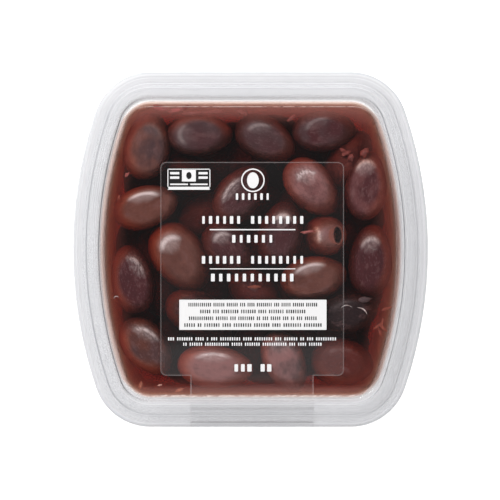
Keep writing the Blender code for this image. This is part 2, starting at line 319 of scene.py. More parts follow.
# %% [markdown]
# ## Bodies from rings
# `joined` closes rings of points into one body, and `swept` makes such rings by carrying a profile
# round the plan. `mark_rings` keeps one value for each of them.

# %% Swept bodies
def joined(rings):
    """Points, faces and the two end panels of the closed body between rings of points."""
    count = len(rings[0])
    following = [*range(1, count), 0]
    faces = [
        (row * count + index, row * count + after,
         (row + 1) * count + after, (row + 1) * count + index)
        for row in range(len(rings) - 1) for index, after in enumerate(following)
    ]
    first = list(range(count))[::-1]
    last = [(len(rings) - 1) * count + index for index in range(count)]
    return np.concatenate(rings), faces, [first, last]


def swept(profile, wave=None):
    """The body that a profile sweeps round the plan, with its rings moved by a wave, if any."""
    rings = []
    for inset, height in profile:
        ring = plan(inset, corner_radius_at(inset))
        if wave is not None:
            ring = ring + wave(inset, ring)
        rings.append(np.column_stack([ring, np.full(len(ring), height)]))
    return joined(rings)


def mark_rings(piece, name, values):
    """Keeps one value for each swept ring of a piece."""
    mark(piece, name, np.repeat(values, ring_count))


# %% [markdown]
# ## Milky plastic
# Tubs like this are thin polypropylene: clear enough to see through, with a milky cast that makes
# the rim glow on a white table. Each wall is two skins with low alpha over the white behind them.
# Light bends away at every crease, so the thin grey lines along the rim are painted shade, and the
# bends carry white painted highlights. Both are painted from the `inset` that each point keeps and
# the side it faces, because the light comes from the back left: grey creases show most on the left
# and right, white gleams at the back and front.

# %% Milky finish
RING_RISE = (2.6, 4.0)
PANEL_RISE = (9.3, 9.7)
SKIRT_RISE = (0.8, 1.8)
SKIRT_EXTRA = 0.27
PANEL_CLEARNESS = 0.14
UNEVENNESS = 0.03
CREASE_SHADE_TONE = colour(96, 98, 104)
GLEAM_HIGHLIGHT_TONE = colour(250, 250, 252)
WET_LAG = 1.3
WET_LEAD = 0.5
PRESSED_SPOTS = {"Scale": 48.0, "Smoothness": 0.4, "Randomness": 0.8}
PRESSED_RISE = (0.22, 0.48)
PRESSED_TONE = colour(112, 66, 60)
FOOT_SHARE = 0.35


def milky_finish(name, cast, alpha, shade_lines, highlight_lines, roughness=0.3, wet=None):
    """See-through milky plastic with painted shade at its creases and painted highlights on its
    bends.

    Each line is its inset, its width, and its strength on the left, right, back and front.
    wet gives the inset where the inner wall starts to show brine, where it shows only brine, and
    the brine's colour and how solid it looks, first just under the lid, then further down, where
    it is darker, painted shade of the deep brine under the rim, and mottled by the olives close
    behind. Towards the foot it grows clearer.
    """
    finish = Finish(name, Roughness=roughness, IOR=1.49)
    inset = finish.marked("inset")
    to_x, to_y, _ = finish.parts(finish.marked("facing", "Vector"))
    sides = [wire.at_least(0.0) for wire in (0.0 - to_x, to_x, to_y, 0.0 - to_y)]
    left, right, back, front = sides
    place = finish.place()
    uneven = (finish.grain(place, 90.0, 1.0) - 0.5) * UNEVENNESS

    def drawn(lines):
        total = inset * 0.0
        for middle, width, *strengths in lines:
            power = 0.0
            for side, strength in zip(sides, strengths):
                power = power + side * strength if strength else power
            total = total + finish.line(inset, middle, width) * power
        return total

    # painted shade lines at the creases and painted highlights on the bends
    dark, light = drawn(shade_lines), drawn(highlight_lines)
    ring = finish.rise(inset, *RING_RISE)
    # painted shade: the ring is darker on its right and front, away from the light at the back left
    shade = dark + ring * (right * 0.08 + front * 0.05) + uneven
    tone = finish.blend(shade.at_least(0.0).at_most(1.0), cast, CREASE_SHADE_TONE)
    tone = finish.blend(light.at_most(1.0), tone, GLEAM_HIGHLIGHT_TONE)
    skirt = 1.0 - finish.rise(inset, *SKIRT_RISE)
    solid = alpha + dark * 0.5 + light * 0.08 + skirt * SKIRT_EXTRA + uneven
    solid = (solid - finish.rise(inset, *PANEL_RISE) * PANEL_CLEARNESS).at_most(1.0)
    if wet is not None:
        start, end, top_colour, top_alpha, low_shade_colour, low_alpha = wet
        depth = inset - (back + front * 0.85) * WET_LAG + right * WET_LEAD
        share = finish.rise(depth, start, end) * finish.marked("inner")
        upper = finish.marked("upper")
        spots = {"Vector": place, **PRESSED_SPOTS}
        away = finish.add("ShaderNodeTexVoronoi", {"feature": "SMOOTH_F1"}, spots)
        close = 1.0 - finish.rise(away, *PRESSED_RISE)
        # the lower tone is darker than the top one: painted shade of the deep brine under the rim
        low_shade_colour = finish.blend(close * 0.8, low_shade_colour, PRESSED_TONE)
        tone = finish.blend(share, tone, finish.blend(upper, low_shade_colour, top_colour))
        low_alpha = (FOOT_SHARE + finish.marked("waist") * (1.0 - FOOT_SHARE)) * low_alpha
        solid = solid + (low_alpha + upper * (top_alpha - low_alpha) - solid) * share
    finish.feed(Base_Color=tone, Alpha=solid)
    finish.relief(finish.grain(place, 60.0, 1.0), 0.00002)
    return finish.material


# %% [markdown]
# ## The rim's lines
# Where each grey crease and white gleam runs was judged from the photograph, and how
# strong it is on each side. Insets are in millimetres from the lid's edge.

# %% Rim lines
# each crease row is a painted shade line, each gleam row a painted highlight
TUB_SHADE_LINES = (
    (6.2, 0.4, 0.05, 0.05, 0.05, 0.05),
    (9.65, 1.1, 0, 0, 0.1, 0.45),
)
LID_SHADE_LINES = (
    (8.68, 0.28, 1.25, 0, 0.2, 0),
    (7.9, 0.34, 0, 1.5, 0, 0),
    (8.9, 0.3, 0, 0, 0, 0.2),
    (4.47, 0.75, 0.6, 0, 0, 0.06),
    (3.45, 0.55, 0, 0.4, 0, 0.1),
    (5.8, 0.4, 0, 0, 0.12, 0),
    (9.55, 0.3, 0, 0, 0.06, 0.14),
    (0.62, 0.4, 0, 0, 0, 0.2),
)
LID_HIGHLIGHT_LINES = (
    (9, 0.4, 0.45, 0, 0.35, 0),
    (7.1, 0.4, 0, 0.25, 0, 0.3),
    (5.3, 0.4, 0, 0, 1, 0),
    (3.95, 0.38, 0, 0.25, 0.95, 0.5),
    (4.6, 0.4, 0, 0, 0, 0.35),
    (2.05, 0.34, 0, 0, 0.9, 0),
    (1, 0.34, 0, 0, 0.45, 0),
    (7.75, 0.6, 0, 0, 0, 0.85),
    (8.5, 0.3, 0, 0.1, 0, 0.25),
    (1.4, 6, 0.3, 0.2, 0.35, 0),
    (7, 5, 0, 0, 0.18, 0),
)
# brine on the wall, with a darker lower tone that is painted shade of the deep brine
WALL_BRINE_AND_SHADE = (8.4, 10.7, colour(106, 50, 44), 0.82, colour(58, 21, 18), 0.80)
tub_milk = milky_finish("tub_milk", colour(216, 217, 221), 0.30, TUB_SHADE_LINES, (), 0.3, WALL_BRINE_AND_SHADE)
lid_milk = milky_finish("lid_milk", colour(209, 210, 214), 0.33, LID_SHADE_LINES, LID_HIGHLIGHT_LINES, 0.22)

# %% [markdown]
# ## The tub
# The tub is one thin wall: a flat floor, a slightly tapered side, a ledge under the lid's panel,
# the rim that the lid clips over, and a flange. It could be a solid cut out of a block, but two
# profiles, inside and outside, swept round the plan give the thin wall directly.

# %% Tub
GAP = 0.3
TUB_WALL = 0.7
LID_WALL = 0.6
LID_TOP_Z = 46.0
SMALL_BEND = 0.4
WIDE_BEND = 0.8
FLOOR_FILLET = 2.6
WALL_TOP_Z = 40.3
LEDGE_INSET = 7.6
LEDGE_Z = 41.2
RIM_INSET = 7.4
RIM_OUTER_INSET = 6.2
FLANGE_INSET = 1.4
FLANGE_LIP = 1.2
BEAD_SLOPE = 0.4
RING_OUTER_INSET = 4.7
SHOULDER_DROP = 1.2
SHOULDER_SLOPE = 0.45
WET_FADE_Z = 36.0
WET_WAIST_Z = 21.0
WET_FOOT_Z = 9.0
WET_LAYERS = (("upper", WET_FADE_Z, 39.0), ("waist", WET_FOOT_Z, WET_WAIST_Z))
WALL_RINGS_Z = (39.0, 38.0, 37.0, WET_FADE_Z, WET_WAIST_Z, WET_FOOT_Z)


def flange_z(inset):
    """The height of the tub's flange, which slopes down outwards under the lid's shoulder."""
    slope = SHOULDER_SLOPE / (RING_OUTER_INSET - GAP)
    return LID_TOP_Z - SHOULDER_DROP - LID_WALL - GAP - slope * (RING_OUTER_INSET - inset)


def shell_piece(name, profile, inner_count, materials, panel_slot):
    """A swept shell whose points keep their inset, side, height and outward direction."""
    points, faces, panels = swept(profile)
    piece = make_piece(name, points, faces + panels, materials)
    mark_rings(piece, "inset", [inset for inset, height in profile])
    mark_rings(piece, "inner", [float(row < inner_count) for row in range(len(profile))])
    for layer, low, high in WET_LAYERS:
        shares = [(height - low) / (high - low) for inset, height in profile]
        mark_rings(piece, layer, np.clip(shares, 0.0, 1.0))
    facing = np.column_stack([outward(plan(0.0)), np.zeros(ring_count)])
    mark(piece, "facing", np.tile(facing, (len(profile), 1)), "FLOAT_VECTOR")
    for polygon in piece.data.polygons[-2:]:
        polygon.material_index = panel_slot
    return piece


rim_z = LID_TOP_Z - LID_WALL - GAP
foot_z = flange_z(FLANGE_INSET) - FLANGE_LIP
tub_inside = [
    (FLOOR_INSET + FLOOR_FILLET, TUB_WALL, 0.0),
    (FLOOR_INSET, TUB_WALL, FLOOR_FILLET - TUB_WALL),
    (WALL_TOP_INSET, WALL_TOP_Z, WIDE_BEND),
    (LEDGE_INSET, LEDGE_Z, SMALL_BEND),
    (RIM_INSET, rim_z, SMALL_BEND),
    (RIM_OUTER_INSET, rim_z, SMALL_BEND),
    (RIM_OUTER_INSET - BEAD_SLOPE, flange_z(RIM_OUTER_INSET), 0.0),
    (FLANGE_INSET, flange_z(FLANGE_INSET), SMALL_BEND),
    (FLANGE_INSET, foot_z, 0.0),
]
tub_outside = [
    (FLOOR_INSET + FLOOR_FILLET, 0.0, 0.0),
    (FLOOR_INSET - TUB_WALL, 0.0, FLOOR_FILLET),
    (WALL_TOP_INSET - TUB_WALL, WALL_TOP_Z - TUB_WALL / 2, 0.0),
    (LEDGE_INSET - TUB_WALL, LEDGE_Z - TUB_WALL / 2, WIDE_BEND),
    (RIM_INSET - TUB_WALL, flange_z(RIM_INSET) - TUB_WALL, SMALL_BEND),
    (FLANGE_INSET + TUB_WALL, flange_z(FLANGE_INSET) - TUB_WALL, 0.0),
    (FLANGE_INSET + TUB_WALL, foot_z, 0.0),
]
tub_inner = filleted(tub_inside)
wall_foot = sum(height < WALL_TOP_Z - 2.0 for inset, height in tub_inner) - 1
foot, head = tub_inner[wall_foot], tub_inner[wall_foot + 1]
for height in WALL_RINGS_Z:
    share = (height - foot[1]) / (head[1] - foot[1])
    inset = foot[0] + (head[0] - foot[0]) * share
    tub_inner.insert(wall_foot + 1, Vector((inset, height)))
tub_profile = tub_inner + filleted(tub_outside)[::-1]
tub = shell_piece("tub_shell", tub_profile, len(tub_inner), [tub_milk], 0)
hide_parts("tub")

# %% [markdown]
# ## The clear panel
# The lid's middle is polished in the mould, so it is clear where the rim is milky. Most light goes
# straight through. A little is mirrored, more at a slant, which the Layer Weight node gives, and a
# trace of haze greys the dark brine below. The label's film is the same stuff, hazier in front.
# Where its tab folds down over the ring the film is painted greyer, painted shade of the fold, with
# painted shadow lines along the folds. Places are in metres, because the shader reads them from the
# mesh.

# %% Clear finish
SLANT_MIRROR = 0.8
FRONT_HAZE_START = (0.028, 0.035)
FRONT_HAZE_END = (0.0430, 0.0460)
FOLD_START = (0.0490, 0.0515)
FOLD_SHADE_SHARE = 0.16
FOLD_SHADOW_LINES = ((0.0583, 0.0009, 1.6), (0.0537, 0.0016, 0.5))
FOLD_TONE_START = (0.0500, 0.0520)
FOLD_SHADE_TONE = colour(120, 117, 118)


def clear_finish(name, haze, haze_colour, roughness, front_haze=0.0, fold_shade=0.0, mirror=0.03):
    """A see-through skin that mirrors a little, with a trace of haze, more of it at the front, and
    painted shade where the tab folds.
    """
    finish = Finish(name, Base_Color=haze_colour, Roughness=0.5)
    place = finish.place()
    cloud = finish.grain(place, 60.0, 4.0)
    through = finish.add("ShaderNodeBsdfTransparent")
    gloss = {"Color": (1.0, 1.0, 1.0, 1.0), "Roughness": roughness}
    mirrored = finish.add("ShaderNodeBsdfGlossy", {}, gloss)
    facing = finish.add("ShaderNodeLayerWeight", {}, {"Blend": 0.5}, out="Facing")
    slant = mirror + (facing ** 5.0) * SLANT_MIRROR
    skin = finish.add("ShaderNodeMixShader", {}, {0: slant, 1: through, 2: mirrored})
    misty = haze * (0.7 + cloud * 0.6)
    if front_haze:
        forward = 0.0 - finish.parts(place)[1]
        panel = finish.rise(forward, *FRONT_HAZE_START)
        panel = panel * (1.0 - finish.rise(forward, *FRONT_HAZE_END))
        # painted shade of the tab's fold over the ring, and painted shadow lines along its folds
        fold_shading = finish.rise(forward, *FOLD_START) * FOLD_SHADE_SHARE
        for middle, width, strength in FOLD_SHADOW_LINES:
            fold_shading = fold_shading + finish.line(forward, middle, width) * strength
        misty = misty + panel * front_haze + fold_shading * fold_shade
        folded = finish.rise(forward, *FOLD_TONE_START)
        finish.feed(Base_Color=finish.blend(folded, haze_colour, FOLD_SHADE_TONE))
    finish.veil(misty, skin)
    return finish.material


lid_clear = clear_finish("lid_clear", 0.003, colour(235, 238, 245), 0.06)

# %% [markdown]
# ## The lid
# The lid is pressed on: a flat panel sunk inside a raised ring, a sloping shoulder and a short
# skirt. Its underside is the same profile moved by the wall's thickness. The two big middle faces
# take the clear finish and the swept bands take the milky one.

# %% Lid
PANEL_Z = 42.7
PANEL_INSET = 9.3
PANEL_FLAT = 1.5
RING_INNER_INSET = 8.4
SKIRT_FLARE = 0.3
SKIRT_FOOT_Z = 39.0
LID_MARGIN = 0.25
shoulder_z = LID_TOP_Z - SHOULDER_DROP
lid_top = [
    (PANEL_INSET + PANEL_FLAT, PANEL_Z, 0.0),
    (PANEL_INSET, PANEL_Z, SMALL_BEND),
    (RING_INNER_INSET, LID_TOP_Z, WIDE_BEND),
    (RING_OUTER_INSET, LID_TOP_Z, WIDE_BEND),
    (RING_OUTER_INSET - BEAD_SLOPE, shoulder_z, SMALL_BEND),
    (SKIRT_FLARE - LID_MARGIN, shoulder_z - SHOULDER_SLOPE, WIDE_BEND),
    (0.0 - LID_MARGIN, SKIRT_FOOT_Z, 0.0),
]
lid_profile = filleted(lid_top) + filleted(shifted(lid_top, LID_WALL))[::-1]
lid = shell_piece("lid_shell", lid_profile, 0, [lid_milk, lid_clear], 1)
for polygon in lid.data.polygons:
    insets = [lid_profile[vertex // ring_count][0] for vertex in polygon.vertices]
    if min(insets) > PANEL_INSET - 0.1:
        polygon.material_index = 1
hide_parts("lid")

# %% [markdown]
# ## The brine
# Between the olives stands red-brown brine. It is one closed body that reaches just into the tub's
# wall, so that no air shows between them, and ends in a thin wedge on the ledge, where its edge
# wanders a little. A volume that swallows green and blue light does the rest: skin that touches
# the lid keeps its own mauve, and deeper skin turns orange, then red, then nearly black.

# %% Brine
BRINE_TOP_Z = 41.95
INTO_WALL = 0.1
BRINE_EDGE_INSET = 8.75
END_DRAWBACK = 1.1
TOP_RING_INSETS = (11.0, 12.0, 13.2, 14.6, 16.2, 18.0, 20.0, 23.0)
WALL_BAND = ((9.5, 12.5), (13.0, 19.0))
BACK_RISE = (0.038, 0.050)
FRONT_RISE = (0.0455, 0.0480)
RIGHT_RISE = (0.030, 0.048)
BRINE_TONE = colour(150, 90, 80)
WISP_TONES = (colour(160, 58, 48), colour(168, 74, 64))
RIGHT_TONE = colour(164, 96, 86)
END_LIGHT_TONE = colour(196, 128, 118)
SWALLOWED = {"Color": (0.79, 0.40, 0.22, 1.0), "Density": 330.0}


def brine_finish():
    """Clear to the eye, but swallowing green and blue light on the way through."""
    finish = Finish("brine")
    place = finish.place()
    to_x, to_y, _ = finish.parts(place)
    cloud = finish.grain(place, 120.0, 3.0)
    wisps = finish.grain(place, 260.0, 4.0, (1.0, 1.0, 0.2))
    inset = finish.marked("inset")
    outer, inner = WALL_BAND
    near_wall = (1.0 - finish.rise(inset, *inner)) * finish.rise(inset, *outer)
    at_back = finish.rise(to_y, *BACK_RISE)
    at_front = finish.rise(0.0 - to_y, *FRONT_RISE)
    at_right = finish.rise(to_x, *RIGHT_RISE)
    # a faint murk near the wall; thicker and paler at the back and front ends, painted light where
    # light through the rim brightens the brine's edge
    veil = 0.06 + wisps * 0.19 + at_back * 0.25 + at_front * 0.16 + at_right * 0.03
    tint = finish.blend(wisps, *WISP_TONES)
    tint = finish.blend(at_right * 0.5, tint, RIGHT_TONE)
    tint = finish.blend(at_back.at_least(at_front), tint, END_LIGHT_TONE)
    finish.feed(Base_Color=finish.blend(near_wall, BRINE_TONE, tint))
    murk = cloud * 0.012 + near_wall * veil * finish.marked("on_top")
    finish.veil(murk, finish.add("ShaderNodeBsdfTransparent"))
    volume = finish.add("ShaderNodeVolumeAbsorption", {}, SWALLOWED)
    finish.put(finish.output.inputs["Volume"], volume)
    return finish.material


def noise_at(x, y, z=0.0):
    """A soft seedless noise from about -1 to 1."""
    return noise.noise(Vector((x, y, z)))


def wandering(inset, ring):
    """Lets the brine's upper edge wander, most at the front."""
    if inset > BRINE_EDGE_INSET + 1.0:
        return 0.0 * ring
    inward = -ring / np.linalg.norm(ring, axis=1)[:, None]
    share = np.array([
        0.5 + 0.5 * noise_at(x * 0.16, y * 0.16, 3.0) + 0.3 * noise_at(x * 0.5, y * 0.5, 8.0)
        for x, y in ring
    ])
    ends = np.clip((np.abs(ring[:, 1]) - 42.0) / 6.0, 0.0, 1.0)
    front = np.clip((-ring[:, 1] - 42.0) / 6.0, 0.0, 1.0)
    return inward * (share * 0.2 + ends * END_DRAWBACK + front * 0.4 * share)[:, None]


ledge_slope = (LEDGE_Z - WALL_TOP_Z) / (WALL_TOP_INSET - LEDGE_INSET)
edge_z = WALL_TOP_Z + (WALL_TOP_INSET - BRINE_EDGE_INSET) * ledge_slope - INTO_WALL
brine_profile = filleted([
    (FLOOR_INSET + FLOOR_FILLET, TUB_WALL - INTO_WALL, 0.0),
    (FLOOR_INSET - INTO_WALL, TUB_WALL - INTO_WALL, FLOOR_FILLET - TUB_WALL),
    (WALL_TOP_INSET - INTO_WALL, WALL_TOP_Z - INTO_WALL, WIDE_BEND),
    (BRINE_EDGE_INSET, edge_z, 0.0),
    (BRINE_EDGE_INSET + 0.2, BRINE_TOP_Z, 0.0),
] + [(inset, BRINE_TOP_Z, 0.0) for inset in TOP_RING_INSETS])
brine_points, brine_faces, brine_ends = swept(brine_profile, wandering)
brine = make_piece("brine", brine_points, brine_faces + brine_ends, [brine_finish()])
mark_rings(brine, "inset", [inset for inset, height in brine_profile])
mark_rings(brine, "on_top", [float(height > edge_z + 0.2) for inset, height in brine_profile])
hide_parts("olives")

# %% [markdown]
# ## Olive skins
# Kalamata olives run from mauve to tan and red-brown, often on one olive, with fine pale freckles
# and wrinkles, whose furrows are painted darker, painted shade. Where one is pressed to the lid,
# the thin film of brine at the edge of the contact patch catches the light in a broken, whitish
# streak, which is a painted highlight, and one side of each olive is painted warmer, painted light
# where light through the shallow brine warms its skin. The finish reads from each point its place
# on its own olive (-1 to 1 along and across), two skin colours, which way its painted highlight and
# its painted glow face, and how wrinkled and freckled it is.

# %% Olive finish
STAIN_TONE = colour(56, 30, 31)
FADED_TONE = colour(124, 88, 88)
FRECKLE_TONE = colour(150, 118, 120, 1.3)
FURROW_SHADE_TONE = colour(52, 30, 34)
PAINTED_GLOW_TONE = colour(190, 92, 62)
HIGHLIGHT_TONE = colour(226, 206, 204)
FINE_STRETCH = (0.6, 1.0, 1.0)


def olive_finish():
    """Skin of two colours with freckles, wrinkles, painted shade in their furrows, a painted glow
    and a broken painted highlight.
    """
    finish = Finish("olive_skins", IOR=1.36, Specular_IOR_Level=0.2)
    along, across, _ = finish.parts(finish.marked("own_place", "Vector"))
    highlight_x, highlight_y, highlight_power = finish.parts(finish.marked("painted_highlight", "Vector"))
    glow_x, glow_y, glow_power = finish.parts(finish.marked("painted_glow", "Vector"))
    wrinkled, freckled, patch_edge = finish.parts(finish.marked("traits", "Vector"))
    place = finish.marked("skin_place", "Vector")

    clouds = finish.grain(place, 0.16, 3.0)
    fine = finish.grain(place, 1.5, 4.0, FINE_STRETCH)
    veins = finish.grain(place, 0.75, 3.0, (0.45, 1.0, 1.0))
    stains = finish.grain(place, 0.38, 4.0, FINE_STRETCH)
    skin, other_skin = finish.marked("skin", "Color"), finish.marked("other_skin", "Color")
    skin = finish.blend(finish.rise(clouds, 0.30, 0.70), skin, other_skin)
    skin = finish.blend(finish.rise(stains, 0.48, 0.76) * 0.32, skin, STAIN_TONE)
    skin = finish.blend(finish.rise(0.0 - stains, -0.46, -0.30) * 0.30, skin, FADED_TONE)
    freckles = finish.rise(fine, 0.54, 0.70) * freckled
    skin = finish.blend((freckles * 0.45).at_most(1.0), skin, FRECKLE_TONE)
    # painted shade: the furrows of the wrinkles are darkened
    furrows = 1.0 - finish.rise(abs(veins - 0.5), 0.0, 0.05)
    skin = finish.blend(furrows * wrinkled * 0.35, skin, FURROW_SHADE_TONE)

    reach = (along * along + across * across).at_least(0.0001) ** 0.5
    glow_facing = (along * glow_x + across * glow_y) / reach
    # painted light: a warm glow on one side, where light through the shallow brine warms the skin
    painted_glow = finish.rise(reach, 0.50, 0.85) * finish.rise(glow_facing, -0.3, 0.8)
    skin = finish.blend((painted_glow * glow_power * 0.5).at_most(1.0), skin, PAINTED_GLOW_TONE)

    # painted highlight: a broken pale streak at the edge of the contact patch
    arc = finish.rise((along * highlight_x + across * highlight_y) / reach, 0.55, 0.98)
    broken = finish.rise(finish.grain(place, 0.9, 4.0, (0.7, 1.6, 1.0)), 0.38, 0.62)
    rough = (wrinkled * 1.3).at_most(1.0)
    highlight_band = finish.line(reach, patch_edge - 0.04, 0.24)
    highlight_band = highlight_band * arc * (0.75 - rough * 0.65 + broken * rough * 0.9)
    soft_highlight = finish.line(reach, patch_edge - 0.14, 0.80)
    soft_highlight = soft_highlight * arc * (0.30 - rough * 0.15 + finish.rise(fine, 0.42, 0.62) * rough * 0.35)
    skin = finish.blend(((highlight_band + soft_highlight) * highlight_power).at_most(1.0), skin, HIGHLIGHT_TONE)
    finish.feed(Base_Color=skin, Roughness=0.45 + clouds * 0.2)
    finish.relief(veins * wrinkled * 0.7 + fine * (0.04 + wrinkled * 0.12), 0.00035)
    return finish.material


olive_skins = olive_finish()

# %% [markdown]
# ## The shape of an olive
# An olive is round in section, blunt at the stalk and drawn out at the tip. Rings of points from
# tip to tip are simple and follow its form. Low lumps from a noise, read at a new place for each
# olive, keep any two from being the same. A soft ceiling presses the upper side flat where it
# meets the lid's panel.

# %% Olive shape
STALK_FULLNESS = 0.10
PRESS_SOFTNESS = 0.25
PIT_DEPTH = 0.5
# painted shade: the inside of the pit's hole is near-black; its rim is pale cut flesh
PIT_SHADE_TONE = colour(15, 8, 9)
PIT_RIM_TONE = colour(140, 80, 68)
NUMBER_SHIFT = 7.3
KEPT = {name: "FLOAT_VECTOR" for name in ("own_place", "skin_place", "painted_highlight", "painted_glow", "traits")}
KEPT.update(skin="FLOAT_COLOR", other_skin="FLOAT_COLOR")


class Olives:
    """Gathers olives into one mesh with what each point keeps for the skins' finish."""

    def __init__(self):
        self.points, self.faces = [], []
        self.kept = {name: [] for name in KEPT}
        self.total = 0
        self.number = 0

    def add(self, spot, turn, lean, length, width, rings, sides, skin, other_skin,
            painted_highlight=(0.0, 0.0), wrinkled=0.2, freckled=0.2, lumps=0.02, ceiling=None, press=0.0,
            painted_glow=(170.0, 0.0), pit=0):
        """One olive, turned and leaning, of so many rings and sides, pressed to a ceiling."""
        self.number += 1
        shares = -np.cos(np.pi * np.arange(rings + 1) / rings)
        girth = np.sqrt(np.clip(1 - shares**2, 0.0, 1.0)) * (1 - STALK_FULLNESS * shares)
        angles = 2 * np.pi * np.arange(sides) / sides
        own = np.concatenate([
            [[-1.0, 0.0, 0.0]],
            np.stack([
                np.repeat(shares[1:-1], sides),
                np.outer(girth[1:-1], np.cos(angles)).ravel(),
                np.outer(girth[1:-1], np.sin(angles)).ravel(),
            ], axis=1),
            [[1.0, 0.0, 0.0]],
        ])
        if pit:
            ends = own[-1 - pit * sides:]
            hole = np.append(np.repeat(np.arange(pit) / pit, sides), 1.0)
            ends[:, 1] *= 1.35 - hole * 0.3
            ends[:, 2] *= 0.75 - hole * 0.30
            ends[:, 0] = 0.93 - PIT_DEPTH * np.clip(hole * 2.0 - 0.4, -0.06, 1.0)
        shift = self.number * NUMBER_SHIFT
        lump = np.array([noise_at(x * 1.4 + shift, y * 1.4, z * 1.4) for x, y, z in own.tolist()])
        local = own * np.array([length, width, width]) / 2 * (1 + lumps * lump)[:, None]
        matrix = np.array(Euler((0.0, math.radians(lean), math.radians(turn))).to_matrix())
        world = local @ matrix.T + np.array(spot)
        if ceiling is not None:
            above = world[:, 2] - ceiling
            world[:, 2] = ceiling + 0.5 * (above - np.sqrt(above**2 + PRESS_SOFTNESS**2))
        self.points.append(world)

        base, last = self.total, self.total + len(own) - 1
        row = lambda ring, side: base + 1 + (ring - 1) * sides + side % sides
        for side in range(sides):
            after = side + 1
            self.faces.append((base, row(1, after), row(1, side)))
            self.faces.append((last, row(rings - 1, side), row(rings - 1, after)))
            for ring in range(1, rings - 1):
                near = (row(ring, side), row(ring, after))
                far = (row(ring + 1, after), row(ring + 1, side))
                self.faces.append(near + far)
        self.total += len(own)

        def aimed(angle, power):
            return math.cos(math.radians(angle - turn)), math.sin(math.radians(angle - turn)), power

        edge = math.sqrt(1 - (1 - 2 * press / width) ** 2)
        same_all_over = {
            "painted_highlight": aimed(*painted_highlight), "painted_glow": aimed(*painted_glow), "traits": (wrinkled, freckled, edge),
            "skin": skin, "other_skin": other_skin,
        }
        self.kept["own_place"].append(own)
        self.kept["skin_place"].append(local + shift * 5)
        for layer, value in same_all_over.items():
            values = np.tile(value, (len(own), 1))
            if pit and KEPT[layer] == "FLOAT_COLOR":
                # painted shade inside the hole, pale flesh round its rim
                values[-1 - (pit - 1) * sides:] = PIT_SHADE_TONE
                values[-1 - (pit + 1) * sides:-1 - (pit - 1) * sides] = PIT_RIM_TONE
            self.kept[layer].append(values)

    def piece(self, name):
        """The gathered olives as one piece in the heap's place."""
        points = np.concatenate(self.points)
        made = make_piece(name, points, self.faces, [olive_skins])
        for layer, values in self.kept.items():
            mark(made, layer, np.concatenate(values), KEPT[layer])
        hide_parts("olives")
        return made


# %% [markdown]
# ## The olives under the lid
# Each row of the table is one olive that shows through the panel: its place, the turn of its long
# axis, its length and width, how much deeper than the best pressed ones it lies, its lean, its two
# skin colours, the direction and strength of its painted highlight and of the painted glow at its
# side, where light through the shallow brine warms it, and its wrinkles and freckles. The olives
# are
# pitted: one stands on end, so that the hole that the pit left, pushed in with its last rings of
# points, faces the lid.

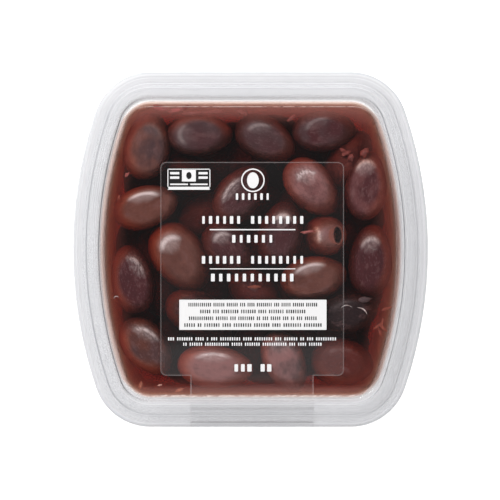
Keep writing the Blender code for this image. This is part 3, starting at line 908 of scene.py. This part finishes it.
# %% Top olives
SKIN_GAIN = 0.8
TOP_PRESS = 1.9
PIT_RINGS = 5
CONTACT_Z = 42.04
TOP_DETAIL = (40, 36)
ON_END_LEAN = -50
SKINS = {
    "mauve": (88, 51, 54),
    "grey": (86, 62, 64),
    "plum": (84, 38, 42),
    "brown": (110, 62, 52),
    "tan": (128, 78, 68),
    "rose": (166, 112, 110),
    "pink": (122, 72, 72),
    "red": (104, 42, 35),
    "dark": (46, 29, 31),
}
SKINS = {name: colour(*tone, SKIN_GAIN) for name, tone in SKINS.items()}
TOP_OLIVES = (
    (-35, 35, 80, 23, 16, 0, 3, "grey", "tan", (60, 0.1), (160, 0.7), 0.1, 0.1),
    (-17.2, 39, 2, 22.5, 14.4, 0, 3, "grey", "mauve", (180, 0.2), (80, 0.5), 0.1, 0.1),
    (5, 37.6, -28, 22, 15, 0.4, 0, "grey", "mauve", (110, 0.25), (0, 0.2), 0.2, 0.2),
    (25, 40.2, 3, 22, 13.8, 0.3, 4, "plum", "grey", (130, 0.2), (0, 0.1), 0.2, 0.2),
    (-35.6, 14.4, 16, 22.5, 14.6, 0, -8, "tan", "brown", (95, 0.9), (190, 0.7), 0.1, 0.1),
    (-3.5, 18.7, 48, 24, 15.6, 0.4, 0, "mauve", "plum", (150, 0.6), (180, 0.3), 0.6, 0.3),
    (20.8, 21.2, -48, 23, 15.6, 0.3, 6, "rose", "pink", (115, 0.8), (160, 0.3), 0.7, 0.3),
    (39.2, 21.8, 86, 24, 14.2, 0, 4, "pink", "plum", (95, 0.7), (0, 0.5), 0.35, 0.3),
    (-24, -2.7, -55, 26.2, 18.2, 0, 0, "brown", "tan", (125, 1), (165, 0.55), 0.2, 0.1),
    (-7.6, 0.6, -48, 21, 15, 0.6, 0, "plum", "mauve", (120, 0.7), (180, 0.2), 0.3, 0.2),
    (10.2, 5.4, 76, 23, 15.2, 0.5, 0, "plum", "mauve", (85, 0.8), (180, 0.2), 0.2, 0.2),
    (25.6, 4.6, 4, 19, 14, 2.8, -64, "tan", "rose", (14, 1), (170, 0.7), 0.3, 0.2),
    (40.8, -3.8, 86, 25, 14.8, 0.2, 0, "plum", "plum", (95, 0.5), (20, 0.5), 0.4, 0.3),
    (-40.2, -10.2, 100, 24, 14.4, 0.2, 0, "plum", "plum", (60, 0.5), (180, 0.7), 0.8, 0.3),
    (21.5, -9.8, 10, 23, 15.2, 0, 0, "tan", "brown", (110, 0.9), (150, 0.4), 0.1, 0.1),
    (1.6, -14.6, -40, 21, 13.8, 2.3, 0, "plum", "red", (100, 0.1), (180, 0.1), 0.2, 0.1),
    (-18, -21.5, -20, 23, 14.8, 0.8, 0, "dark", "plum", (100, 0.1), (180, 0.4), 0.2, 0.1),
    (-35.4, -33, -50, 22.4, 14.8, 0, 0, "brown", "grey", (80, 0.6), (220, 0.9), 0.5, 0.3),
    (-12, -39.8, -5, 26, 14.6, 0.2, 0, "rose", "rose", (95, 0.8), (190, 0.7), 0.35, 0.2),
    (11.5, -38, -65, 22, 14.2, 0.2, 0, "rose", "grey", (100, 0.3), (200, 0.3), 0.2, 0.2),
    (31.2, -38.2, -8, 21.6, 16.2, 0.4, 0, "red", "red", (100, 0.05), (270, 0.5), 0.1, 0.1),
    (33.4, -21.6, 10, 20, 14, 0.5, 0, "dark", "dark", (120, 0.05), (0, 0.1), 0.2, 0.1),
    (-15, 12, 30, 22, 14.4, 4.5, 0, "plum", "plum", (100, 0), (0, 0), 0.2, 0.1),
    (-20.5, 25, -20, 22, 14.4, 5.5, 0, "plum", "dark", (100, 0), (0, 0), 0.2, 0.1),
    (33.5, 30.5, 60, 22, 14.4, 3.4, 0, "pink", "plum", (100, 0), (0, 0), 0.2, 0.1),
)
top = Olives()
for (x, y, turn, length, width, drop, lean, skin, other_skin, painted_highlight, painted_glow,
     wrinkled, freckled) in TOP_OLIVES:
    on_end = lean < ON_END_LEAN
    press = TOP_PRESS - drop
    spot = (x, y, CONTACT_Z + press - width / 2)
    top.add(spot, turn, lean, length, width, *TOP_DETAIL, SKINS[skin], SKINS[other_skin], painted_highlight,
            wrinkled, freckled, ceiling=CONTACT_Z, press=max(press, 1.5 if on_end else 0.2),
            painted_glow=painted_glow, pit=PIT_RINGS if on_end else 0)
top.piece("top_olives")

# %% [markdown]
# ## Torn scraps
# Torn bits of skin and flesh float by the wall and between the olives, from orange flakes to pink
# shreds. Each is a small lumpy body under the lid, made like an olive but much lumpier. A row of
# the table gives its place, turn, length, width, lumpiness and skin.

# %% Scraps
SCRAP_SKINS = {
    "orange": (146, 74, 58),
    "pink": (172, 98, 94),
    "red": (150, 48, 42),
    "pale": (216, 172, 158),
    "smoke": (92, 74, 76),
    "rust": (128, 62, 56),
    "flesh": (178, 114, 92),
}
SCRAPS = (
    (19.4, 6, 8, 4.2, 1, 0.6, "pink"),
    (1.2, -12.7, 5, 4.2, 1.4, 0.6, "orange"),
    (32.6, 32.6, 20, 3.2, 1.8, 0.6, "rust"),
    (34, 31.2, 100, 2.6, 1.6, 0.6, "rust"),
    (31.2, 33.6, 150, 2.2, 1.2, 0.6, "rust"),
    (38.6, 32.8, 60, 3.6, 2.6, 0.3, "rust"),
    (46, -20, 18, 3.6, 0.9, 0.4, "orange"),
    (43, -26, 35, 3.4, 0.9, 0.5, "orange"),
    (44.6, -24.8, 80, 3, 0.9, 0.5, "orange"),
    (44.9, -26.6, 140, 3.2, 1, 0.5, "orange"),
    (43.8, -28, 110, 2.8, 0.8, 0.5, "orange"),
    (-41.8, 25.4, 40, 1.9, 1, 0.6, "pink"),
    (-44.5, 17.7, 70, 1.6, 0.8, 0.6, "orange"),
    (-30.6, -45.9, 10, 1.5, 0.6, 0.5, "pale"),
    (-37.2, -46, 70, 2.4, 1.5, 0.4, "flesh"),
    (-24, -47.6, 20, 2.8, 1.3, 0.4, "flesh"),
    (-30.6, 47.8, -8, 6.6, 1.7, 0.5, "pink"),
    (-25, 47.2, 10, 5.4, 1.5, 0.6, "pink"),
    (-22, 48, 30, 2.4, 1.3, 0.5, "rust"),
    (-12.4, 46.6, 4, 7, 1.1, 0.1, "rust"),
    (-19.6, 46.2, 3, 8, 1.3, 0.1, "rust"),
    (38.6, -17, 5, 4.4, 2, 0.2, "smoke"),
    (-3, 46.5, -30, 4, 1.6, 0.3, "rust"),
    (14, 44.6, 40, 3.6, 1.3, 0.3, "rust"),
)
SCRAP_DETAIL = (14, 12)
AT_BACK_Y = 47.0
BACK_LIFT = 0.1
scraps = Olives()
for x, y, turn, length, width, lumps, skin in SCRAPS:
    tone = colour(*SCRAP_SKINS[skin])
    ceiling = CONTACT_Z + (BACK_LIFT if y > AT_BACK_Y else 0.0)
    scraps.add((x, y, ceiling + 0.1 - width / 2), turn, 0.0, length, width, *SCRAP_DETAIL,
               tone, tone, wrinkled=0.4, freckled=0.2, lumps=lumps, ceiling=ceiling, press=0.1)
scraps.piece("torn_scraps")

# %% [markdown]
# ## Bright edges of the brine
# Where the brine ends against the lid its edge curls up and mirrors the sky in a thin bright line,
# wavy at the front. Flat bubbles of air show as arcs in the same way. Each is a fine whitish strip
# just above the brine, a painted reflection, and its strength, kept along the strip, sets how solid
# it looks. An arc's row gives its middle, its half widths, its first and last angle, its width and
# its strength.

# %% Bright edges
GLEAM_Z = 42.0
GLEAM_THICKNESS = 0.05
GLEAM_STEP = 0.6
BRINE_LINE_INSET = 10.4
BACK_SHIFT = 1.25
ARC_STEPS = 25
ARCS = (
    (32.6, -21.4, 2.5, 2.5, 30, 160, 0.34, 0.55),
    (36.4, -22.6, 3.1, 2.9, 8, 100, 0.42, 1.0),
    (-45.4, -16.6, 0.8, 0.8, 10, 200, 0.25, 0.5),
    (42.4, 4.6, 3.4, 4.6, 200, 285, 0.3, 0.22),
)


def strip(path, widths, closed):
    """Points and faces of a fine flat strip along a path of (x, y) places."""
    path = np.asarray(path)
    aside = outward(path, closed) * np.asarray(widths)[:, None] / 2
    corners = []
    for sign, height in ((1, 0.0), (1, GLEAM_THICKNESS), (-1, GLEAM_THICKNESS), (-1, 0.0)):
        corners.append(np.column_stack([path + aside * sign, np.full(len(path), GLEAM_Z + height)]))
    points = np.stack(corners, axis=1).reshape(-1, 3)
    count = len(path)
    faces = []
    for index in range(count if closed else count - 1):
        here, after = index * 4, (index + 1) % count * 4
        for corner in range(4):
            beside = (corner + 1) % 4
            faces.append((here + corner, after + corner, after + beside, here + beside))
    if not closed:
        faces += [(3, 2, 1, 0), tuple((count - 1) * 4 + corner for corner in range(4))]
    return points, faces


def gleam_finish():
    """A painted reflection, whitish, as solid as each point's strength."""
    finish = Finish("brine_edge_reflection", Roughness=0.25)
    place = finish.place()
    broken = finish.rise(finish.grain(place, 420.0, 3.0), 0.3, 0.6)
    tone = finish.blend(broken, colour(226, 190, 184), colour(248, 236, 233))
    strength = finish.marked("strength")
    finish.feed(Base_Color=tone, Alpha=strength * (1.0 - (1.0 - broken) * strength * 0.7))
    return finish.material


loop = plan(BRINE_LINE_INSET, corner_radius_at(BRINE_LINE_INSET))
loop_out = outward(loop)
fine_loop, strengths = [], []
for index in range(len(loop)):
    after = (index + 1) % len(loop)
    steps = max(1, round(np.linalg.norm(loop[after] - loop[index]) / GLEAM_STEP))
    for step in range(steps):
        share = step / steps
        spot = loop[index] * (1 - share) + loop[after] * share
        out = loop_out[index] * (1 - share) + loop_out[after] * share
        back, front = max(out[1], 0.0) ** 4, max(-out[1], 0.0) ** 4
        wave = noise_at(spot[0] * 0.5, 2.0) * 0.45 + noise_at(spot[0] * 1.7, 6.0) * 0.2
        fine_loop.append(spot - out * (back * BACK_SHIFT + front * wave))
        strengths.append(0.08 + 0.42 * back + 0.92 * front)
widths = [0.24 + 0.1 * strength for strength in strengths]
gleam_points, gleam_faces = strip(fine_loop, widths, True)
gleam_strengths = list(np.repeat(strengths, 4))
for x, y, half_x, half_y, start, end, width, strength in ARCS:
    angles = np.radians(np.linspace(start, end, ARC_STEPS))
    taper = np.sin(np.linspace(0.12, math.pi - 0.12, ARC_STEPS))
    arc_path = np.column_stack([x + half_x * np.cos(angles), y + half_y * np.sin(angles)])
    points, faces = strip(arc_path, width * taper, False)
    gleam_faces += [tuple(vertex + len(gleam_points) for vertex in face) for face in faces]
    gleam_points = np.concatenate([gleam_points, points])
    gleam_strengths += list(np.repeat(strength * taper, 4))
gleam = make_piece("brine_bright_edge", gleam_points, gleam_faces, [gleam_finish()])
mark(gleam, "strength", gleam_strengths)
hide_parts("olives")

# %% [markdown]
# ## The olives behind the wall and deeper down
# From the side, olives in two layers show through the milky wall, and between the top ones a few
# deeper ones show as red shadows. They lie along the plan at an even pitch, each with its own
# lean, drawn from a seeded random source. Fewer points do, because brine and wall blur them.

# %% Deep olives
SIDE_LAYERS_Z = (9.0, 22.5)
SIDE_PITCH = 25.0
SIDE_SIZE = (23.0, 14.6)
SIDE_CLEARANCE = 0.5
SIDE_LEAN = 14.0
PATH_CORNER = 12.0
DEEP_PITCH = 15.5
DEEP_Z = 27.0
DEEP_SIZE = (22.0, 14.4)
FLOOR_PITCH = 20.0
DEEP_DETAIL = (20, 18)
DEEP_TONES = ("mauve", "plum", "brown", "red", "tan")
SIDE_TONES = ("mauve", "pink", "rose", "brown", "tan")


def wall_inset(height):
    """The inset of the tub's inner wall at a height."""
    share = (height - TUB_WALL) / (WALL_TOP_Z - TUB_WALL)
    return FLOOR_INSET + (WALL_TOP_INSET - FLOOR_INSET) * share


def along_plan(inset, count, start):
    """Places evenly spaced along the plan, each with the plan's direction there in degrees."""
    path = plan(inset, PATH_CORNER)
    steps = np.roll(path, -1, axis=0) - path
    spans = np.linalg.norm(steps, axis=1)
    ends = np.cumsum(spans)
    places = []
    for index in range(count):
        left = ends[-1] * ((index + start) / count % 1.0)
        here = int(np.searchsorted(ends, left))
        share = 1 - (ends[here] - left) / spans[here]
        spot = path[here] + steps[here] * share
        places.append((spot[0], spot[1], math.degrees(math.atan2(steps[here][1], steps[here][0]))))
    return places, ends[-1]


def two_skins(tones):
    """Two different skin colours out of these, drawn at random."""
    return [SKINS[tone] for tone in rng.sample(tones, 2)]


rng = random.Random(7)
deep = Olives()
for layer, height in enumerate(SIDE_LAYERS_Z):
    inset = wall_inset(height) + SIDE_CLEARANCE + SIDE_SIZE[1] / 2
    count = round(along_plan(inset, 1, 0.0)[1] / SIDE_PITCH)
    for x, y, turn in along_plan(inset, count, 0.5 * layer)[0]:
        lean = rng.uniform(-SIDE_LEAN, SIDE_LEAN)
        skins = two_skins(SIDE_TONES)
        deep.add((x, y, height + rng.uniform(-0.4, 0.4)), turn, lean, *SIDE_SIZE, *DEEP_DETAIL,
                 *skins, wrinkled=0.4, freckled=0.3)
for row in range(-2, 3):
    for column in range(-2, 3):
        skins = two_skins(DEEP_TONES)
        x, y = column * DEEP_PITCH + rng.uniform(-2, 2), row * DEEP_PITCH + rng.uniform(-2, 2)
        spot = (x, y, DEEP_Z + rng.uniform(-1, 1))
        deep.add(spot, rng.uniform(0, 180), rng.uniform(-20, 20), *DEEP_SIZE, *DEEP_DETAIL,
                 *skins, wrinkled=0.3, freckled=0.3)
for row in (-1, 0, 1):
    for column in (-1, 0, 1):
        skins = two_skins(DEEP_TONES)
        spot = (column * FLOOR_PITCH, row * FLOOR_PITCH, SIDE_LAYERS_Z[0])
        deep.add(spot, rng.uniform(0, 180), 0.0, *SIDE_SIZE, *DEEP_DETAIL,
                 *skins, wrinkled=0.4, freckled=0.3)
deep.piece("deep_olives")

# %% [markdown]
# ## The dark middle of the heap
# Nothing is seen of the middle but darkness, so a plain core with the tub's plan closes it. Its
# near-black tones are painted shade of the heap's middle.

# %% Core
CORE_CORNER = 4.0
CORE_WALL_DISTANCE = 8.0
CORE_FLOOR_Z = 5.0
CORE_TOP_Z = 26.0


def mottled_finish(name, tones, roughness, scale, depth):
    """Two tones in soft clouds, with a faint relief."""
    finish = Finish(name, Roughness=roughness)
    cloud = finish.grain(finish.place(), scale, 3.0)
    finish.feed(Base_Color=finish.blend(cloud, *tones))
    finish.relief(cloud, depth)
    return finish.material


# painted shade: near-black tones for the heap's middle
core_shade_tones = (colour(30, 16, 16), colour(58, 30, 28))
core_shade = mottled_finish("heap_core", core_shade_tones, 0.6, 150.0, 0.0005)
core_rings = []
for height in (CORE_FLOOR_Z, CORE_TOP_Z):
    ring = plan(wall_inset(height) + CORE_WALL_DISTANCE, CORE_CORNER)
    core_rings.append(np.column_stack([ring, np.full(ring_count, height)]))
core_points, core_faces, core_ends = joined(core_rings)
core = make_piece("heap_core", core_points, core_faces + core_ends, [core_shade])
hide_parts("olives")

# %% [markdown]
# ## The clear label
# The label is a clear film that lies on the panel, with a narrower tab that bridges the recess,
# folds over the ring and goes down the skirt, where it seals the lid. A flat outline and a strip
# of faces along the tab's way, thickened upwards, give the film.

# %% Label film
LABEL_LEFT = -30.5
LABEL_RIGHT = 31.6
LABEL_BACK = 29.6
LABEL_FRONT = -42.7
LABEL_CORNER = 2.0
TAB_LEFT = -20.3
TAB_RIGHT = 21.3
TAB_FOOT_Z = 40.0
FILM_Z = 42.74
FILM_THICKNESS = 0.1
EDGE_WIDTH = 0.32
EDGE_THICKNESS = 0.03
BEND_STEPS = 6
LABEL_SIDES = (LABEL_LEFT, LABEL_RIGHT, LABEL_FRONT, LABEL_BACK)


def rounded(left, right, low, high, radius, steps, grow=0.0):
    """A rectangle's outline with rounded corners, anticlockwise from the lower right one."""
    outline = []
    for x, y, start in ((right, low, -90), (right, high, 0), (left, high, 90), (left, low, 180)):
        centre_x = x - math.copysign(radius, x - (left + right) / 2)
        centre_y = y - math.copysign(radius, y - (low + high) / 2)
        for step in range(steps + 1):
            angle = math.radians(start + 90 * step / steps)
            across, along = (radius + grow) * math.cos(angle), (radius + grow) * math.sin(angle)
            outline.append((centre_x + across, centre_y + along))
    return outline


def label_outline(inward=0.0):
    """The label on the panel, from the tab's right root round to its left root, moved inwards."""
    corners = rounded(*LABEL_SIDES, LABEL_CORNER, BEND_STEPS, -inward)
    root = LABEL_FRONT + inward
    return [(TAB_RIGHT - inward, root), *corners, (TAB_LEFT + inward, root)]


def tab_way():
    """The tab's (depth, height) points from the label's front edge to its foot, smoothed."""
    edge = -HALF_DEPTH
    ring_z = LID_TOP_Z + 0.1
    low_z = LID_TOP_Z - SHOULDER_DROP - SHOULDER_SLOPE + 0.1
    bends = [
        Vector((LABEL_FRONT, FILM_Z)),
        Vector((LABEL_FRONT - 3.6, FILM_Z + 0.5)),
        Vector((edge + RING_INNER_INSET + 0.3, ring_z - 0.1)),
        Vector((edge + RING_OUTER_INSET + 0.3, ring_z)),
        Vector((edge + 0.5, low_z)),
        Vector((edge - 0.15, low_z - 1.4)),
        Vector((edge - 0.2, TAB_FOOT_Z)),
    ]
    way = [bends[0]]
    for before, here, after in zip(bends, bends[1:], bends[2:]):
        cut = min(1.2, (before - here).length / 2, (after - here).length / 2)
        start = here + (before - here).normalized() * cut
        end = here + (after - here).normalized() * cut
        for step in range(BEND_STEPS + 1):
            share = step / BEND_STEPS
            way.append(start * (1 - share) ** 2 + here * 2 * share * (1 - share) + end * share**2)
    return way + [bends[-1]]


def thickened(piece, thickness):
    """Gives a sheet its thickness, upwards, and keeps the result as the mesh."""
    solid = piece.modifiers.new("film", "SOLIDIFY")
    solid.thickness = thickness * MM
    solid.offset = 1.0
    made = piece.evaluated_get(bpy.context.evaluated_depsgraph_get())
    piece.data = bpy.data.meshes.new_from_object(made)
    piece.data.set_sharp_from_angle(angle=math.radians(SHARP_ANGLE))
    piece.modifiers.clear()


film_clear = clear_finish("label_clear", 0.004, colour(240, 232, 232), 0.04, 0.016, 0.16, 0.012)
film_edge = clear_finish("label_edge", 0.075, colour(245, 235, 235), 0.2)
tab_points = tab_way()
flat = label_outline()
film_points = [(x, y, FILM_Z) for x, y in flat]
film_faces = [list(range(len(flat)))]
left, right = len(flat) - 1, 0
for way in tab_points[1:]:
    film_points += [(TAB_LEFT, way.x, way.y), (TAB_RIGHT, way.x, way.y)]
    film_faces.append((right, left, len(film_points) - 2, len(film_points) - 1))
    left, right = len(film_points) - 2, len(film_points) - 1
film = make_piece("label_film", film_points, film_faces, [film_clear])
thickened(film, FILM_THICKNESS)
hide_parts("label")

# %% [markdown]
# ## The label's cut edge
# The cut edge of a clear film catches the light, so a fine strip runs just inside the outline.

# %% Label edge
edge_points = []
for inward in (0.0, EDGE_WIDTH):
    edge_points += [(TAB_RIGHT - inward, way.x, way.y) for way in tab_points[:0:-1]]
    edge_points += [(x, y, FILM_Z) for x, y in label_outline(inward)]
    edge_points += [(TAB_LEFT + inward, way.x, way.y) for way in tab_points[1:]]
edge_points = [(x, y, z + FILM_THICKNESS) for x, y, z in edge_points]
half = len(edge_points) // 2
edge_faces = [(index, index + 1, half + index + 1, half + index) for index in range(half - 1)]
edge = make_piece("label_cut_edge", edge_points, edge_faces, [film_edge])
thickened(edge, EDGE_THICKNESS)

# %% [markdown]
# ## The print
# The print is kept generic: rows of plain blocks where a label has its words, a framed badge, a
# ring with an oval in it, two rules and a white panel with rows of dark dashes. Each is a thin
# raised shape on the film.

# %% Print
PRINT_Z = FILM_Z + FILM_THICKNESS
PRINT_THICKNESS = 0.03
BLOCK_STEPS = 3


class Print:
    """Gathers flat raised shapes of one ink."""

    def __init__(self, lift):
        self.points, self.faces, self.base = [], [], PRINT_Z + lift
        self.rng = random.Random(3)

    def shape(self, outline):
        """A flat shape with a thin edge, from its outline, anticlockwise."""
        start = len(self.points)
        rings = [[(x, y, self.base + lift) for x, y in outline] for lift in (0, PRINT_THICKNESS)]
        points, sides, ends = joined(rings)
        self.points += points.tolist()
        self.faces += [[start + vertex for vertex in face] for face in ends + sides]

    def block(self, left, right, low, high, radius=0.2):
        """A rectangle with rounded corners."""
        self.shape(rounded(left, right, low, high, radius, BLOCK_STEPS))

    def row(self, left, right, low, high, counts, ink=0.42, gap=1.0):
        """A row of upright blocks of uneven width in groups, as words stand in a line."""
        pitch = (right - left) / (sum(counts) + gap * (len(counts) - 1) - (1 - ink))
        x = left
        for count in counts:
            for _ in range(count):
                wide = pitch * ink * self.rng.uniform(0.85, 1.15)
                middle = x + pitch * ink / 2
                self.block(middle - wide / 2, middle + wide / 2, low, high, min(0.2, wide / 3))
                x += pitch
            x += pitch * gap

    def oval(self, x, y, half_x, half_y, steps=28):
        """A filled oval."""
        angles = 2 * np.pi * np.arange(steps) / steps
        self.shape(np.column_stack([x + half_x * np.cos(angles), y + half_y * np.sin(angles)]))

    def ring(self, x, y, radius, width, steps=40):
        """A ring, as a run of small slabs."""
        inside = radius - width
        for step in range(steps):
            corners = ((inside, step), (radius, step), (radius, step + 1), (inside, step + 1))
            reach, angles = np.array(corners).T * [[1.0], [2 * math.pi / steps]]
            self.shape(np.column_stack([x + reach * np.cos(angles), y + reach * np.sin(angles)]))

    def piece(self, name, material):
        made = make_piece(name, self.points, self.faces, [material])
        made.data.shade_flat()
        return made


# %% [markdown]
# ## What is printed
# A block's row gives its left, right, low and high sides in millimetres. A row of words also gives
# how many blocks stand in each group, how much of the pitch is ink and how wide the gaps are.

# %% Print pieces
FINE_CORNER = 0.1
DASH_HEIGHT = 1.25
BADGE = (
    (-28.1, -13.6, 27.0, 27.3), (-28.1, -27.8, 20.3, 27.3), (-13.9, -13.6, 20.3, 27.3),
    (-28.1, -13.6, 20.2, 21.2), (-23.2, -18.5, 23.0, 27.1), (-27.2, -24.1, 25.4, 26.2),
    (-17.6, -14.5, 25.4, 26.2), (-27.2, -24.1, 23.9, 24.7), (-17.6, -14.5, 23.9, 24.7),
    (-27.2, -21.2, 21.8, 22.3), (-20.4, -14.5, 21.8, 22.3),
)
RULES = ((-13.8, 15.2, 6.5, 6.9), (-13.8, 15.2, -6.7, -6.4))
WORDS = (
    (-5.0, 6.2, 16.8, 19.0, (6,), 0.4),
    (-16.4, 17.8, 8.7, 11.3, (6, 8)),
    (-6.2, 7.4, 2.3, 4.9, (6,)),
    (-16.4, 17.8, -4.8, -2.2, (6, 8)),
    (-13.3, 14.5, -10.8, -8.2, (11,)),
    (-27.9, 28.9, -30.8, -29.7, (3, 7, 4, 1, 3, 9, 4, 8, 3, 6, 2, 3, 9), 0.55, 0.9),
    (-22.8, 24.0, -32.6, -31.5, (2, 6, 11, 5, 7, 11, 3, 4, 6), 0.55, 0.9),
    (-5.5, 7.0, -41.3, -38.8, (3, 2), 0.6),
)
PANEL_WORDS = (
    (-19.3, -21.0, 22.5, (12, 6, 6, 3, 4, 8, 3, 5, 6, 6)),
    (-21.6, -17.0, 18.5, (5, 3, 8, 7, 4, 7, 9)),
    (-23.9, -20.8, 22.3, (12, 6, 3, 8, 2, 3, 5, 3, 2, 3, 6)),
    (-26.2, -22.4, 24.0, (5, 2, 7, 4, 8, 7, 4, 8, 8)),
)
WHITE_TONES = (colour(250, 249, 249), colour(254, 253, 253))
BLACK_TONES = (colour(8, 8, 9), colour(24, 22, 23))
white_ink = mottled_finish("white_ink", WHITE_TONES, 0.45, 700.0, 0.00001)
black_ink = mottled_finish("black_ink", BLACK_TONES, 0.45, 700.0, 0.00001)

black_back = Print(0.0)
black_back.block(-28.3, -13.4, 20.1, 27.5, 0.3)
black_back.piece("label_badge_ground", black_ink)

white = Print(PRINT_THICKNESS)
for sides in BADGE + RULES:
    white.block(*sides, FINE_CORNER)
white.block(-24.1, 25.7, -27.2, -17.0, 0.15)
white.ring(0.8, 23.4, 4.0, 0.45)
white.oval(0.8, 23.4, 2.0, 2.7)
for words in WORDS:
    white.row(*words)
white.piece("label_white_print", white_ink)

dark = Print(PRINT_THICKNESS * 2)
for low, left, right, counts in PANEL_WORDS:
    dark.row(left, right, low, low + DASH_HEIGHT, counts, 0.5, 0.8)
dark.oval(-20.85, 25.0, 0.9, 1.2)
dark.piece("label_dark_print", black_ink)

# %% [markdown]
# ## Floor, light and camera
# The tub stands on a white sweep that is lit to pure white. A broad soft box hangs behind and to
# the left, and the sky is white but darker straight above, where the flat panel mirrors it. The
# camera looks straight down through a long lens, as in the photograph.

# %% Stage
IMAGE_WIDTH = 0.1687
CAMERA_HEIGHT = 1.2
CAMERA_SHIFT = -0.18 * MM
SENSOR = 36.0
FLOOR_CORNERS = ((-3, -3, -0.0002), (3, -3, -0.0002), (3, 3, -0.0002), (-3, 3, -0.0002))
SKY_FALLOFF = {"From Min": 0.86, "From Max": 0.985, "To Min": 0.74, "To Max": 0.04}
BOX_PLACE = (-0.38, 0.55, 0.62)
BOX_AIM = (0, 0, 0.04)

floor_mesh = bpy.data.meshes.new("floor")
floor_mesh.from_pydata(FLOOR_CORNERS, [], [(0, 1, 2, 3)])
floor = placed("floor", floor_mesh)
floor_finish = Finish("white_sweep", Base_Color=(0.6, 0.6, 0.6, 1.0), Roughness=0.9,
                      Emission_Color=(1.0, 1.0, 1.0, 1.0), Emission_Strength=0.95)
floor_mesh.materials.append(floor_finish.material)

world = bpy.data.worlds.new("soft_sky")
bpy.context.scene.world = world
world.use_nodes = True
sky = world.node_tree
background = sky.nodes["Background"]
background.inputs["Color"].default_value = (1.0, 1.0, 1.0, 1.0)
place = sky.nodes.new("ShaderNodeTexCoord")
split = sky.nodes.new("ShaderNodeSeparateXYZ")
sky.links.new(place.outputs["Generated"], split.inputs[0])
falloff = sky.nodes.new("ShaderNodeMapRange")
falloff.interpolation_type = "SMOOTHSTEP"
for name, value in SKY_FALLOFF.items():
    falloff.inputs[name].default_value = value
sky.links.new(split.outputs["Z"], falloff.inputs["Value"])
sky.links.new(falloff.outputs[0], background.inputs["Strength"])

box_light = bpy.data.lights.new("soft_box", "AREA")
box_light.shape = "RECTANGLE"
box_light.size, box_light.size_y = 0.5, 0.35
box_light.energy = 4.6
soft_box = placed("soft_box", box_light, BOX_PLACE)
aim = Vector(BOX_AIM) - soft_box.location
soft_box.rotation_euler = aim.to_track_quat("-Z", "Y").to_euler()

camera_data = bpy.data.cameras.new("camera")
camera_data.sensor_width = SENSOR
camera_data.lens = SENSOR * CAMERA_HEIGHT / IMAGE_WIDTH
camera_data.clip_end = 20.0
camera_place = (CAMERA_SHIFT, CAMERA_SHIFT, LID_TOP_Z * MM + CAMERA_HEIGHT)
camera = placed("camera", camera_data, camera_place)
bpy.context.scene.camera = camera
bpy.context.scene.view_settings.view_transform = "Standard"
bpy.context.scene.cycles.transparent_max_bounces = 32
bpy.context.scene.cycles.max_bounces = 10
bpy.context.scene.cycles.denoising_input_passes = "RGB_ALBEDO"
print("camera lens in mm:", round(camera_data.lens, 1))
